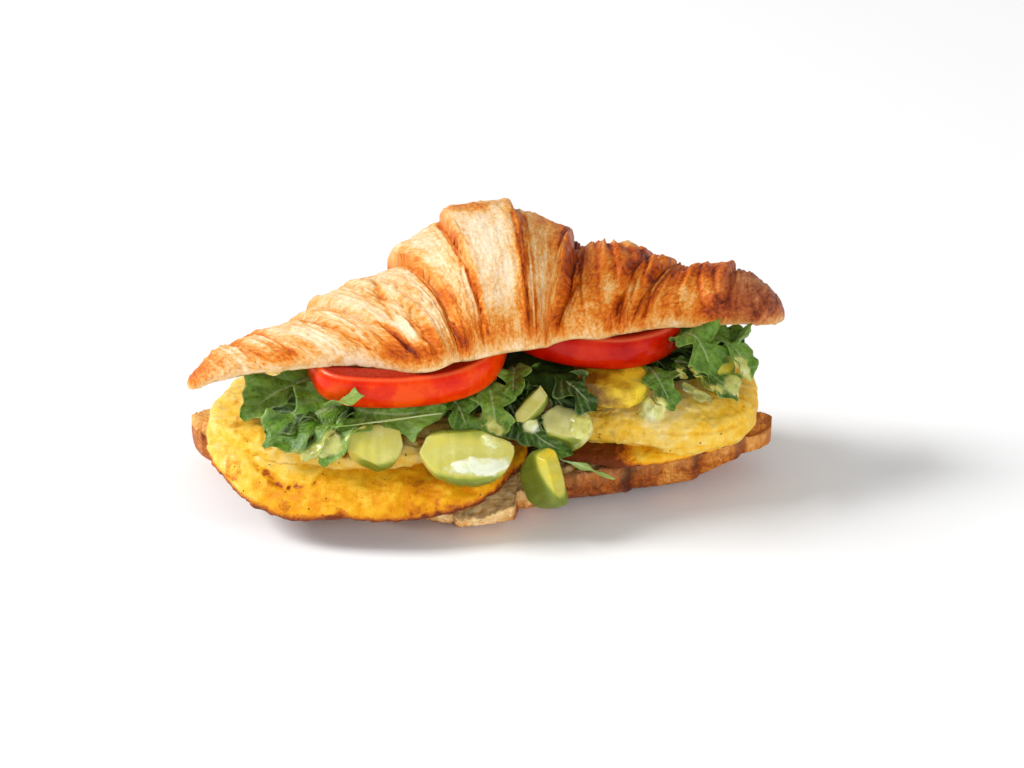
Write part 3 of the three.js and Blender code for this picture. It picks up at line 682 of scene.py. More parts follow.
def leaf(start, over, tip, width, roll, tone, fan, seed):
    """One leaf: its upper face, ruffled and puffed up between the veins, and its face below."""
    t = np.linspace(0.002, 0.998, 60)[:, None]
    s = np.linspace(-1, 1, 17)[None, :]
    midrib, length, along, side, up = midrib_line(t, start, over, tip, roll)
    from_start = t * length
    half = lobed_rim(t, s, length, width, seed)
    out = s * half
    sweep = 0.25 * half * s**2
    ruffle = 0.95 * np.sin(2 * np.pi * (from_start / 8 + seed * 0.37)) * s * np.abs(s)
    wave = 0.7 * np.sin(9 * t + seed) * s + 0.45 * grain(from_start / 4, out / 4, seed, 51)
    rib = bell(out, 0.5 - 0.3 * t) * ease((1.05 - t) * 3)
    beat = vein_beat(from_start, out, fan, seed)
    veins = beat**5 * ease(np.abs(out) / 0.8)
    puffs = 0.5 * (1 - beat**4) * np.sqrt(np.abs(s)) * (1 - np.abs(s))
    puffs = puffs + 0.14 * grain(from_start / 1.3, out / 1.3, seed, 54)
    lift = 0.2 * half * s**2 + wave + ruffle * (width / 14) - 0.3 * rib - 0.12 * veins + puffs
    lift = lift * min(1, width / 4)
    thick = 0.5 * LEAF_THICKNESS * np.sqrt(np.clip(1.05 - s**2, 0, 1)) + 0.25 * rib * (1 - 0.6 * t)
    thick = thick * min(1, 0.4 + width / 5)
    middle = midrib[:, None] + side[:, None] * out[..., None] + along[:, None] * sweep[..., None]
    above = middle + up[:, None] * (lift + thick * 0.6)[..., None]
    below = middle + up[:, None] * (lift - thick)[..., None]
    where = np.stack([from_start + 0 * s, out, 0 * out + seed * 7.3], axis=2)

    def both_faces(values):
        values = values + 0 * out
        return np.concatenate([values, values[:, ::-1]], axis=1)

    return np.concatenate([above, below[:, ::-1]], axis=1), {
        "blade": np.concatenate([where, where[:, ::-1]], axis=1),
        "rib": both_faces(rib),
        "vein": both_faces(veins),
        "rim": both_faces(np.abs(s)),
        "shade": both_faces(tone),
        "under": np.concatenate([0 * out, 0 * out + 1], axis=1),
    }


def leaf_finish():
    green = Finish("arugula_leaf")
    where = green.place("blade")
    net = green.cells(where, 1.1)
    mottle = green.noise(where, 0.3, 5.0, 0.65)
    crinkle = green.noise(where, 1.4, 4.0, 0.7)
    tone = green.trait("shade") * 0.42 + 0.43 + (mottle - 0.5) * 1.1
    tone = tone + (net - 0.4) * 0.25 + (crinkle - 0.5) * 0.4
    blade = green.colours(tone, [(0.0, (0.010, 0.028, 0.002)), (0.3, (0.040, 0.100, 0.005)),
                                 (0.6, (0.120, 0.240, 0.020)), (1.0, (0.29, 0.42, 0.08))])
    blade = green.blend(green.trait("under") * 0.45, blade, (0.17, 0.27, 0.09))
    blade = green.blend(green.trait("vein") * 0.4, blade, (0.25, 0.36, 0.13))
    blade = green.blend(green.trait("rim").between(0.88, 1.0) * mottle * 0.7, blade, (0.33, 0.45, 0.10))
    pale = 0.5 + green.trait("shade").between(1.0, 2.0) * 0.35
    blade = green.blend(green.trait("rib").between(0.3, 0.9) * pale, blade, (0.50, 0.58, 0.30))
    green.coat({
        "Base Color": blade,
        "Roughness": 0.36 + (mottle - 0.5) * 0.25,
        "Normal": green.raised(net * 0.6 + mottle + crinkle * 0.6, 0.5, 0.6),
        "Specular IOR Level": 0.35,
    })
    green.soften(0.12, (0.4, 1.0, 0.08), 0.8)
    return green.material


arugula_leaf = leaf_finish()
for number, row in enumerate(LEAVES):
    lay_down(f"arugula_leaf_{number + 1}", [leaf(*row, number)], arugula_leaf, "arugula")


def omelette_top(x):
    """Height of the omelettes' tops, where the heap lies on them."""
    return mix(27.0, 31.0, ease(x / 14))


def bed_top(x, y):
    """Height of the heap's top, under the tomatoes."""
    left = 37.6 + 0.12 * (y + 4.5) + 0.05 * np.minimum(0, x + 23)
    right = 41.4 + 0.05 * (y - 6) - 0.07 * np.maximum(0, x - 31)
    return mix(left, right, ease((x - 2) / 7))


BED_MIDDLE = (6, -1.5)
BED_LENGTH, BED_DEPTH = 55, 22  # from the middle to the edge
BED_NARROWING = 3.5  # how much less deep it is at the right than in the middle


def bed_point(angle, reach):
    """A place in the heap: its direction, and its share of the way to the edge."""
    depth = BED_DEPTH - BED_NARROWING * reach * np.cos(angle)
    return BED_MIDDLE[0] + BED_LENGTH * reach * np.cos(angle), BED_MIDDLE[1] - reach * np.sin(angle) * depth


def heap_core():
    """The inside of the heap, which shows only between the leaves. Its near-black is painted shade."""
    climb = np.linspace(-1.5, 1.5, 40)[:, None]
    angle = (2 * np.pi * np.arange(220) / 220)[None, :]
    edge = 0.94 + 0.07 * lumps(20 * np.cos(angle), 20 * np.sin(angle), 5, 2)
    x, y = bed_point(angle, np.cos(climb) ** 0.7 * edge)
    low, high = omelette_top(x) + GAP, bed_top(x, y) - GAP
    share = np.sign(climb) * np.abs(np.sin(climb)) ** 0.55
    rim = mix(low, high, 0.5)
    z = np.where(share > 0, mix(rim, high, share), mix(rim, low, -share))
    folds = 1.4 * (0.4 - np.abs(grain(x / 5, y / 5, z / 4, 60))) + 0.5 * grain(x / 2, y / 2, z / 2, 61)
    return pushed(np.stack([x, y, z], axis=2), folds * (np.abs(share) < 0.93)), {}


# nearly black: painted shade for the gaps between the leaves
heap_shade = Finish("leaves_in_the_heap")
depths = heap_shade.noise(heap_shade.node("ShaderNodeTexCoord", {}, {}, 3), 260.0, 4.0, 0.6)
heap_shade.coat({
    "Base Color": heap_shade.colours(depths, [(0.35, (0.006, 0.012, 0.002)), (0.75, (0.03, 0.06, 0.006))]),
    "Roughness": 0.7,
    "Specular IOR Level": 0.15,
    "Normal": heap_shade.raised(depths, 1.0, 0.5),
})
lay_down("arugula_heap", [heap_core()], heap_shade.material, "arugula", "arugula")

SMALL_LEAF_COUNT = 46
UNDER_AVOCADO = [(8, 18), (23, 49), (57, 70)]  # stretches of the front where the leaves stay further in
small_leaves = []
chance = np.random.default_rng(11)
for number in range(SMALL_LEAF_COUNT):
    angle = 2 * np.pi * (number + chance.uniform(-0.4, 0.4)) / SMALL_LEAF_COUNT
    inner_x, inner_y = bed_point(angle, 0.72)
    outer_angle, outer_reach = angle + chance.uniform(-0.16, 0.16), chance.uniform(0.95, 1.09)
    outer_x, outer_y = bed_point(outer_angle, outer_reach)
    if outer_y < 0 and any(first < outer_x < last for first, last in UNDER_AVOCADO):
        outer_x, outer_y = bed_point(outer_angle, outer_reach - 0.25)
    height = mix(omelette_top(inner_x), bed_top(inner_x, inner_y), chance.uniform(0.25, 0.8))
    tip_height = mix(omelette_top(outer_x), bed_top(outer_x, outer_y), chance.uniform(0.05, 0.7))
    small_leaves.append(leaf(
        (inner_x, inner_y, height),
        ((inner_x + outer_x) / 2, (inner_y + outer_y) / 2, height + 1.5),
        (outer_x, outer_y, tip_height),
        # their darker tones are partly painted shade for the depths of the heap
        chance.uniform(8, 13), chance.uniform(-35, 35), chance.uniform(-1.1, 0.1), 0, 30 + number,
    ))
FALLEN_SPRIG = ((20, -31, 19.5), (27, -33.5, 18.2), (35, -30.5, 12.9), 2.3, 30, 1.6, 0)
small_leaves.append(leaf(*FALLEN_SPRIG, 80))
lay_down("arugula_small_leaves", small_leaves, arugula_leaf, "arugula")

# The avocado: slices and chunks of ripe flesh, yellow at the stone's side and green under the peel,
# that lie on the omelettes' front and in the heap of leaves.
AVOCADO = [  # middle, turn, length, width, thickness; green at near and far edge; paleness; slope of both
    ((-30.5, -37, 25.6), (46, 0, 6), 16, 13, 5.5, 0.08, 0.05, 0.12, 0),
    ((-5.5, -39.5, 24.2), (48, 4, 4), 27, 16, 6, 0.08, 0.18, 0.13, 0),
    ((15.6, -36.5, 15.8), (81.8, 57.2, -56.3), 17, 14, 8, 0.75, 0, 0.02, 0.07),
    # its paleness is raised to make up for the tomato's shade over it: painted light
    ((21.5, -27.5, 27.2), (32, 8, -10), 15, 12, 7, 0.1, 0.05, 0.34, 0),
    # its slope and low paleness darken one end to brown: painted shade
    ((35, -17.5, 36.2), (12, 3, 6), 22, 17, 7.5, 0, 0, -0.3, 0.2),
    ((63, -10.5, 36.2), (42, 6, 16), 13, 13, 7, 0.35, 0.2, -0.02, 0),
    ((12.5, -26.5, 33.5), (45, -44, 22), 13, 5.5, 4.5, 0.1, 0.2, 0.2, 0),
    ((-34, 24, 30.5), (-14, 0, -8), 28, 15, 5.5, 0.1, 0.1, 0, 0),
    ((42, 24, 35.2), (-10, 0, 10), 28, 15, 6, 0.1, 0.1, 0, 0),
]


def avocado_slice(middle, turn, length, width, thickness, near, far, paleness, slope, seed):
    """A slice with crisp edges, on which the knife left a few flat cuts."""
    along = np.linspace(-0.995, 0.995, 90)[:, None]
    angle = (2 * np.pi * np.arange(140) / 140)[None, :]
    taper = np.sqrt(np.maximum(0, 1 - np.abs(along) ** 2.6))
    across, up = np.cos(angle), np.sin(angle)
    wide = np.sign(across) * np.abs(across) ** 0.55 * taper
    thin = mix(0.62, 1, 0.5 - 0.5 * across)
    tall = np.sign(up) * np.abs(up) ** 0.4 * np.sqrt(taper) * thin
    rings = np.stack([
        along * length / 2 + 0 * across,
        wide * width / 2 + 0.22 * width * along**2,
        tall * thickness / 2,
    ], axis=2)
    knife_cuts = np.random.default_rng(seed + 5)
    for _ in range(5):
        facing = knife_cuts.normal(size=3) * np.array([1, 1, 0.5])
        facing /= np.linalg.norm(facing)
        depth = rings @ facing
        rings = rings - np.maximum(0, depth - 0.8 * depth.max())[..., None] * facing * 0.92
    lines = 0.12 * grain(rings[..., 0] / 1.6, rings[..., 1] / 9, seed, 70)
    dents = 0.3 * grain(rings[..., 0] / 5, rings[..., 1] / 5, rings[..., 2] / 5 + seed, 71)
    cut = pushed(rings, lines + dents)
    peel = ease((2 * near - 1 - wide + 6 * slope * along) / 0.4 + 0.5) * ease(near / 0.06)
    peel = peel + 0.7 * ease((wide + 2 * far - 1) / 0.7 + 0.5) * ease(far / 0.06) + 0 * up
    return turned(cut, turn) + np.array(middle), {
        "peel": peel, "pale": paleness + slope * along + 0 * wide, "flesh": rings + seed * 9.1,
    }


def avocado_finish():
    flesh = Finish("avocado_flesh")
    cloud = flesh.noise(flesh.place("flesh"), 0.22, 3.0)
    fine = flesh.noise(flesh.place("flesh"), 1.8, 3.0)
    tone = flesh.trait("pale") + 0.5 + (cloud - 0.5) * 0.6 + (fine - 0.5) * 0.12
    # the lowest, brown stops mostly give the fifth slice its painted shade
    inner = flesh.colours(tone, [
        (0.03, (0.16, 0.07, 0.003)), (0.18, (0.50, 0.29, 0.01)), (0.34, (0.84, 0.60, 0.03)),
        (0.46, (0.60, 0.52, 0.055)), (0.65, (0.56, 0.53, 0.13)), (0.85, (0.70, 0.68, 0.28)),
    ])
    rim = flesh.trait("peel") + (cloud - 0.5) * 0.5 + (fine - 0.5) * 0.25
    colour = flesh.blend(rim.between(0.1, 0.6), inner, (0.28, 0.33, 0.035))
    colour = flesh.blend(rim.between(0.5, 1.05), colour, (0.13, 0.165, 0.012))
    flesh.coat({
        "Base Color": colour,
        "Roughness": 0.3 + (fine - 0.5) * 0.2,
        "Normal": flesh.raised(fine * 0.4 + cloud, 0.4, 0.25),
        "Specular IOR Level": 0.4,
    })
    flesh.soften(0.15, (0.7, 1.0, 0.1), 1.5)
    return flesh.material


avocado_flesh = avocado_finish()
for number, row in enumerate(AVOCADO):
    name = f"avocado_{number + 1}"
    lay_down(f"slice_of_{name}", [avocado_slice(*row, number)], avocado_flesh, "avocado", name)

# The dressing: a thick green cream that was spooned over the avocado and the leaves. It lies on
# them in glossy pools, follows their shape, and runs down in thin smears and drips.
DRESSING = {  # middle, half width, half height, turn, thickness, whiteness
    # its high whiteness is partly a painted highlight
    "dressing_1": ((-1.6, -45, 24.8), 9.4, 3.1, 5, 1.5, 0.35),
    "dressing_2": ((25.6, -32.5, 30.2), 3.4, 5.4, -6, 1.2, -0.1),
    "dressing_3": ((45.6, -25.5, 32.6), 5.2, 4.6, 0, 3.6, 0.05),
}
SMEARS = [
    ((1.6, -37, 30), 4.2, 5.6, 10, 0.9, 0), ((11.8, -31, 30), 3, 2.3, 20, 1.2, 0.2),
    ((55.5, -14, 35.6), 5, 2.6, -42, 1.3, -0.05), ((61, -15, 31.6), 4.2, 2.4, -12, 1.1, 0),
    ((70.8, -9, 34), 3.4, 7, 12, 0.6, 0), ((69, -9, 29.5), 5.4, 4.6, -10, 0.5, -0.1),
    ((-46.5, -37, 24), 8.5, 3, 14, 0.5, -0.1), ((-42, -36, 26.5), 3.4, 3.8, 20, 0.5, 0),
]
POURED = np.array([0, 0.82, -0.57])  # the way the cream came onto the filling, in at the open front


def carrying_surface(pieces):
    """One search tree over the pieces that the cream can land on."""
    points, faces = [], []
    for piece in pieces:
        start = len(points)
        points += [vertex.co.copy() for vertex in piece.data.vertices]
        faces += [[start + k for k in face.vertices] for face in piece.data.polygons]
    return BVHTree.FromPolygons(points, faces)


def met_filling(places):
    """How far above each place, back along the pour, the filling is met. Where the pour misses it,
    there is no number."""
    away = 30.0
    met = np.full(places.shape[:2], np.nan)
    for i, k in np.ndindex(met.shape):
        start = Vector((places[i, k] - POURED * away + SHIFT) * MM)
        distance = filling.ray_cast(start, Vector(POURED), 2 * away * MM)[3]
        if distance is not None:
            met[i, k] = away - distance / MM
    return met


def levelled(found, thickness):
    """The cream's own level over the filling: smooth, and lower on lumps the thicker it is."""
    level = found
    for round_number in range(int(80 * (1 + thickness))):
        padded = np.concatenate([np.roll(level[:1], level.shape[1] // 2, axis=1), level, level[-1:]])
        beside = np.roll(level, 1, axis=1) + np.roll(level, -1, axis=1)
        level = np.maximum(found - 0.01 * round_number, (padded[:-2] + padded[2:] + beside) / 4)
    return level


def steepest(level):
    """The largest step from each point to its neighbours on the grid."""
    steps = [np.abs(level - np.roll(level, way, axis)) for way in (1, -1) for axis in (0, 1)]
    steps[0][0] = steps[2][-1] = 0
    return np.max(steps, axis=0)


def draped(middle, half_width, half_height, turn, thickness, whiteness, seed):
    """A pool of cream laid over whatever is under it, thick in the middle and thin at its rim. It
    covers nothing where it would hang in the air."""
    ring = np.linspace(0.03, 1.2, 40)[:, None]
    angle = (2 * np.pi * np.arange(110) / 110)[None, :]
    u, v = ring * half_width * np.cos(angle), ring * half_height * np.sin(angle)
    wavy = 1 + 0.24 * grain(u / 3, v / 3, seed, 80) + 0.14 * grain(u / 1.2, v / 1.2, seed, 83)
    cover = ease((1 - ring * wavy) / 0.45)
    low = -v / half_height
    turn = math.radians(turn)
    u, v = u * math.cos(turn) - v * math.sin(turn), u * math.sin(turn) + v * math.cos(turn)
    above = np.cross([1, 0, 0], POURED)
    places = np.array(middle) + u[..., None] * np.array([1, 0, 0]) + v[..., None] * above
    found = met_filling(places)
    lowest = max(np.nanpercentile(found, 8), np.nanmedian(found) - 3)
    missing = np.isnan(found) | (found < lowest - 2 * thickness)
    found = np.clip(np.where(missing, lowest, found), lowest, None)
    level = levelled(found, thickness)
    cover = cover * ease((1 + 1.6 * thickness - level + found) / 1.6) * (1 - missing)
    cover = cover * ease((0.7 + 0.5 * thickness - steepest(level)) / 0.5)
    ripple = 1 + 0.25 * grain(u / 3.4, v / 2.2, seed, 81)
    swell = 0.15 + thickness * np.sqrt(np.maximum(0, 1 - ring**2)) * cover * ripple
    front = places - POURED * (level + swell)[..., None]
    behind = places - POURED * (found - 0.3)[..., None]
    spot = np.stack([u + seed * 11, v, 0 * u], axis=2)
    return np.concatenate([front, behind[::-1]]), {
        "pool": np.concatenate([spot, spot[::-1]]),
        "cover": np.concatenate([cover, 0 * cover]),
        "white": whiteness + 0.2 * np.concatenate([low, low]),
        "thick": min(1, 0.4 + 0.5 * thickness) + 0 * np.concatenate([u, u]),
    }


def dressing_finish():
    cream = Finish("green_dressing")
    cloud = cream.noise(cream.place("pool"), 0.4, 4.0)
    fine = cream.noise(cream.place("pool"), 1.6, 3.0)
    whiter = cloud + cream.trait("white") + (fine - 0.5) * 0.12
    body = cream.colours(whiter, [(0.25, (0.54, 0.51, 0.10)), (0.45, (0.66, 0.65, 0.18)),
                                  (0.65, (0.70, 0.72, 0.34)), (0.85, (0.76, 0.80, 0.62))])
    cover = cream.trait("cover")
    body = cream.blend(0.5 - cover * 0.6, body, (0.50, 0.53, 0.14))
    herbs = (0.1 - cream.cells(cream.place("pool"), 0.7)).between(0.0, 0.05)
    film = cover.between(0.0, 0.8) * cream.trait("thick")
    cream.coat({
        "Base Color": cream.blend(herbs * 0.5, body, (0.14, 0.22, 0.03)),
        "Roughness": 0.16 + (fine - 0.5) * 0.08,
        "Normal": cream.raised(cloud + fine * 0.15, 0.4, 0.25),
        "Coat Weight": 0.6,
        "Coat Roughness": 0.08,
        "Alpha": film * (0.7 + cloud * 0.6),
    })
    cream.soften(0.2, (0.8, 1.0, 0.3), 1.5)
    return cream.material


green_dressing = dressing_finish()
FILLING_NAMES = ("folded_omelette", "arugula", "slice_of_avocado")
filling = carrying_surface(p for p in bpy.context.scene.objects if p.name.startswith(FILLING_NAMES))
creams = []
for number, (name, row) in enumerate(DRESSING.items()):
    creams.append(lay_down(f"pool_of_{name}", [draped(*row, number)], green_dressing, "dressing", name))
smears = [draped(*row, number + 10) for number, row in enumerate(SMEARS)]
creams.append(lay_down("smears_of_dressing", smears, green_dressing, "dressing"))
for cream in creams:  # what covers nothing is cut away, and a film this thin darkens nothing
    cream.visible_shadow = False
    sheet = bmesh.new()
    sheet.from_mesh(cream.data)
    cover = sheet.verts.layers.float["cover"]
    bare = [face for face in sheet.faces if all(vertex[cover] < 0.01 for vertex in face.verts)]
    bmesh.ops.delete(sheet, geom=bare, context="FACES")
    sheet.to_mesh(cream.data)
    sheet.free()

# The tomato slices: two thick rounds of ripe tomato that lie on the leaves, each with a band of
# glossy skin round it and wet cut flesh above and below.
TOMATO_THICKNESS = 9.8
TOMATO_BARREL = 1.1  # how far the skin stands out half way up
TOMATO_EDGE = 0.9  # the rounding where the skin meets the cut
TOMATOES = {  # radius, middle, turn; lobes: the direction of each and how far it stands out; how much darker red it is
    "tomato_left": (28, (-22.3, -4.5, 38.2), (7, -3.4, 0), [(-135, 0.12), (-42, 0.09)], 0),
    "tomato_right": (24.8, (31.2, 6.6, 41.4), (3.4, 4.2, 0), [(-158, 0.06), (-134, 0.1)], 1),
}


def tomato_round(radius, middle, turn, lobes, ripe, seed):
    """A slice: a cut face with a core and three chambers of jelly, the skin, and the same below."""
    angle = (2 * np.pi * np.arange(260) / 260)[None, :]
    face = np.linspace(0.02, 1, 46)[:, None] ** 0.8
    t = np.linspace(0, 1, 40)[1:-1, None]
    inset = TOMATO_EDGE * (1 - np.sqrt(np.maximum(0, 1 - np.abs(2 * t - 1) ** 6)))
    side = radius - TOMATO_BARREL + TOMATO_BARREL * (1 - (2 * t - 1) ** 2) - inset
    rim = radius - TOMATO_BARREL - TOMATO_EDGE
    r = np.concatenate([rim * face, side, rim * face[::-1]])
    height = np.concatenate([0 * face, t * TOMATO_THICKNESS, 0 * face + TOMATO_THICKNESS])
    skin = np.concatenate([0 * face, 0 * t + 1, 0 * face]) + 0 * angle
    ribs = 1 + 0.008 * np.cos(5 * angle + seed) + 0.004 * np.cos(11 * angle + 2 * seed)
    for direction, amount in lobes:
        away = (np.degrees(angle) - direction + 180) % 360 - 180
        ribs = ribs + amount * bell(away, 26)
    inner = r / radius
    chambers = ease((inner - 0.22) / 0.1) * ease((0.8 - inner) / 0.08)
    walls = ease((0.5 + 0.5 * np.cos(6 * angle + seed) - 0.12) / 0.25)
    gel = chambers * walls * (1 - skin)
    uneven = 0.1 * grain(r * np.cos(angle) / 4, r * np.sin(angle) / 4, height / 4, 90)
    sunk = 0.9 * gel * (0.7 + 0.3 * grain(r * np.cos(angle) / 1.6, r * np.sin(angle) / 1.6, height, 91))
    z = height + np.where(height > TOMATO_THICKNESS / 2, -sunk, sunk)
    rings = np.stack([r * ribs * np.cos(angle), r * ribs * np.sin(angle), z + 0 * angle], axis=2)
    return turned(pushed(rings, uneven * skin), turn) + np.array(middle), {
        "skin": skin, "gel": gel, "cut": rings + np.array([7.0 * seed, 0, 0]),
        # a bright orange line round the skin's top edge: painted highlight
        "lip": 0.8 * bell(height - TOMATO_THICKNESS + 0.5, 0.3) * skin,
        "core": bell(inner, 0.2) * (1 - skin) + 0 * angle,
        "ripe": ripe + 0 * rings[..., 0],
    }


def tomato_finish():
    tomato = Finish("ripe_tomato")
    place = tomato.place("cut")
    cloud = tomato.noise(place, 0.12, 3.0)
    fine = tomato.noise(place, 1.4, 4.0)
    tone = cloud + (fine - 0.5) * 0.15
    skin = tomato.colours(tone, [
        (0.3, (0.64, 0.010, 0.0004)), (0.48, (0.76, 0.028, 0.0004)), (0.62, (0.84, 0.070, 0.0004)),
    ])
    darker_reds = tomato.colours(tone, [
        (0.3, (0.36, 0.002, 0.0004)), (0.5, (0.50, 0.007, 0.0004)), (0.7, (0.62, 0.022, 0.0004)),
    ])
    skin = tomato.blend(tomato.trait("ripe"), skin, darker_reds)
    flesh = tomato.colours(fine, [(0.3, (0.26, 0.005, 0.001)), (0.6, (0.40, 0.016, 0.003))])
    seeds = (0.32 - tomato.cells(place, 0.34)).between(0.0, 0.06)
    jelly = tomato.blend(seeds, (0.60, 0.09, 0.006), (0.80, 0.55, 0.18))
    flesh = tomato.blend(tomato.trait("gel"), flesh, jelly)
    flesh = tomato.blend(tomato.trait("core") * 0.7, flesh, (0.80, 0.38, 0.18))
    colour = tomato.blend(tomato.trait("skin"), flesh, skin)
    tomato.coat({
        # the lip's orange line is a painted highlight
        "Base Color": tomato.blend(tomato.trait("lip") * 0.7, colour, (0.72, 0.16, 0.05)),
        "Roughness": 0.22 - tomato.trait("skin") * 0.06 + (fine - 0.5) * 0.1,
        "Normal": tomato.raised(fine, 0.3, 0.3),
        "Specular IOR Level": 0.16,
        "Coat Weight": 0.12,
        "Coat Roughness": 0.06,
    })
    tomato.soften(0.12, (1.0, 0.1, 0.03), 1.5)
    return tomato.material


ripe_tomato = tomato_finish()
for number, (name, row) in enumerate(TOMATOES.items()):
    lay_down(f"slice_of_{name}", [tomato_round(*row, number)], ripe_tomato, "tomato", name)

# The upper half of the croissant: a dome of the same rolled dough over an arched cut face. It rests
# on the tomato slices, so it tips a little to the front, and both of its arms droop.
UPPER_BANDS = {
    1: [(9.5, 27.3, 26.2, 0.3), (22, 24.4, 18.9, 0.4), (43, 14, 13.4, 2.9), (49.5, 12.9, 12.3, 0.2),
        (69.5, 9.6, 11.2, 0.4), (HALF_LENGTH, 9.5, 9.3, 0.3)],
    -1: [(8, 27.4, 26.2, 0.3), (19, 23.9, 19.3, 0.3), (31.5, 16, 14.8, 0.3), (41, 13.9, 11.6, 0.3),
         (47.5, 10.6, 8.4, 0.1), (59.5, 7.5, 6.9, 0.4), (68, 6.9, 5.7, 0.2), (HALF_LENGTH, 5.1, 5.1, 0)],
}
UPPER_WIDTH = 1.15  # half width of the roll over its height
UPPER_MIDDLE = np.array([0, -4, 54.4])
UPPER_TURN = (5.7, -2.6, 9.7)
MARKS = [  # folds and cracks: from and to, each as a place along the roll and round it; width; depth
    (-48, 16, -46.6, 9, 0.8, 1.4), (-28, 34, -34, 17, 0.6, 0.8), (-60, 17, -62.5, 5, 0.7, 0.5),
    (-37.5, 15, -38, 8, 1, 1.1), (-31, 17, -31.5, 9, 0.8, 0.8), (-41, 26, -44, 8, 0.5, 0.35),
    (-44.5, 24, -46, 6, 0.4, 0.3), (-69, 12, -70.5, 4, 0.5, 0.3), (-10.3, 54, -9.6, 29, 0.6, 0.35),
    (-8.5, 27, -5, 8, 0.6, 0.35), (7.6, 50, 8.6, 10, 0.6, 0.7), (11.5, 50, 12.6, 6, 0.5, 0.5),
    (29.5, 18, 25.4, 2, 0.8, 0.9), (27, 42, 37, 12, 0.8, 0.9), (31, 42, 43, 9, 0.7, 0.8),
    (35, 42, 47, 10, 0.8, 0.9), (38.5, 40, 48.5, 15, 0.7, 0.8), (24.5, 36, 33, 9, 0.7, 0.6),
    (46, 30, 52, 4, 0.5, 0.6), (55, 24, 60, 4, 0.6, 0.6), (59, 24, 65, 6, 0.6, 0.7),
    (64, 22, 68.5, 8, 0.6, 0.6), (74, 14, 76, 3, 0.5, 0.4), (77, 12, 80, 3, 0.5, 0.4),
]
BAKED = [  # where the oven caught the crust more or less: place along and round, reach of each, how much
    (-83, 4, 5, 9, 0.22), (-19, 5, 7, 5, 0.22), (-35, 6, 6.5, 4.5, 0.36), (-43, 5, 4, 3.5, 0.3),
    (-76, 12, 6, 6, 0.08), (-64.5, 5, 3, 3, 0.16), (-55, 9, 6, 8, -0.12), (-40, 14, 5, 10, -0.08),
    (-38, 11, 2, 5, 0.45), (-33.5, 12, 1.8, 4, -0.3), (-30, 13, 2, 5, 0.3), (-28, 24, 4, 8, 0.08),
    (-24, 30, 4, 20, -0.06), (-19.4, 34, 1.2, 22, 0.24), (-9.6, 46, 1.3, 14, 0.22),
    (-7, 22, 1.6, 10, 0.22), (-14.5, 12, 5, 8, 0.3), (-17, 22, 3, 8, 0.16), (-1.5, 36, 4.8, 16, -0.22),
    (3.2, 34, 1.1, 18, -0.12), (-2, 59, 7, 6, 0.4), (-1, 11, 8, 6, 0.26), (6.4, 30, 1.2, 28, 0.2),
    (9, 30, 1.6, 30, 0.3), (16.5, 26, 4, 14, -0.14), (14, 48, 7, 5, 0.12), (21, 38, 3, 8, 0.1),
    (13, 10, 1.2, 12, 0.16), (35, 24, 9, 13, 0.28), (27, 24, 2.5, 12, 0.2), (47, 18, 1.8, 14, -0.16),
    (52.5, 11, 1.1, 12, 0.26), (62, 20, 7, 6, 0.28), (60, 5, 8, 4, 0.02), (74, 9, 8, 9, 0.12),
]
PLEATED = [(1, 35, 11), (0.6, 60, 10), (0.35, 79, 6)]  # where the roll is gathered: share, place, width
FRONT_SWELLS = [  # how much further its front stands out: share, place along, width
    (0.3, -34, 20), (0.26, -37, 10), (-0.12, 1, 11), (0.2, 24, 7), (0.14, 34, 18), (0.25, 51, 7),
]
DROOPS = [  # how far it hangs between what it rests on: depth, place along, width
    (3.4, -29, 15), (1.1, -52, 12), (1.6, 35, 15), (1.2, 28, 5), (1.6, 54, 11),
]
GOLDEN_TONES = [(0.0, (0.90, 0.72, 0.50)), (0.2, (0.83, 0.56, 0.29)), (0.38, (0.76, 0.37, 0.09)),
                (0.55, (0.68, 0.19, 0.010)), (0.7, (0.57, 0.11, 0.004)), (0.86, (0.36, 0.048, 0.002)),
                (1.0, (0.16, 0.018, 0.002))]
# the right tip's duller, darker tones: browner crust and partly painted shade
TIP_BROWN_AND_SHADE_TONES = [(0.0, (0.74, 0.45, 0.28)), (0.35, (0.50, 0.20, 0.09)), (0.7, (0.24, 0.065, 0.03)),
             (1.0, (0.09, 0.022, 0.012))]
upper_crust = crust_finish("upper_crust", GOLDEN_TONES, TIP_BROWN_AND_SHADE_TONES)


def swells(x, rows):
    """Swells along x, each given by its height, place and width."""
    return sum(height * bell(x - place, width) for height, place, width in rows)


def band_wander(x, w):
    """How far the bands' edges waver and bend at each place on the crust."""
    ragged = 0.08 + 0.3 * ease((x - 12) / 8)
    wander = 0.8 * grain(w / 9, np.sign(x), 0, 30) + ragged * grain(w / 2.4, np.sign(x), 0, 31)
    wander = wander - 6 * bell(w - 15, 13) * bell(x - 25, 8) + 3 * bell(w - 16, 10) * bell(x + 33, 6)
    wander = wander + (2.6 * ease((26 - w) / 12) - 1.7 * bell(w - 44, 10)) * bell(x + 8.5, 4)
    return wander * ease(np.abs(x) / 8) * ease((STEADY_FROM - np.abs(x)) / 6)


def beside_line(x, w, x0, w0, x1, w1):
    """Distance from the line between two places on the crust."""
    along = np.array([x1 - x0, w1 - w0])
    t = np.clip(((x - x0) * along[0] + (w - w0) * along[1]) / (along @ along), 0, 1)
    return np.hypot(x - x0 - t * along[0], w - w0 - t * along[1])


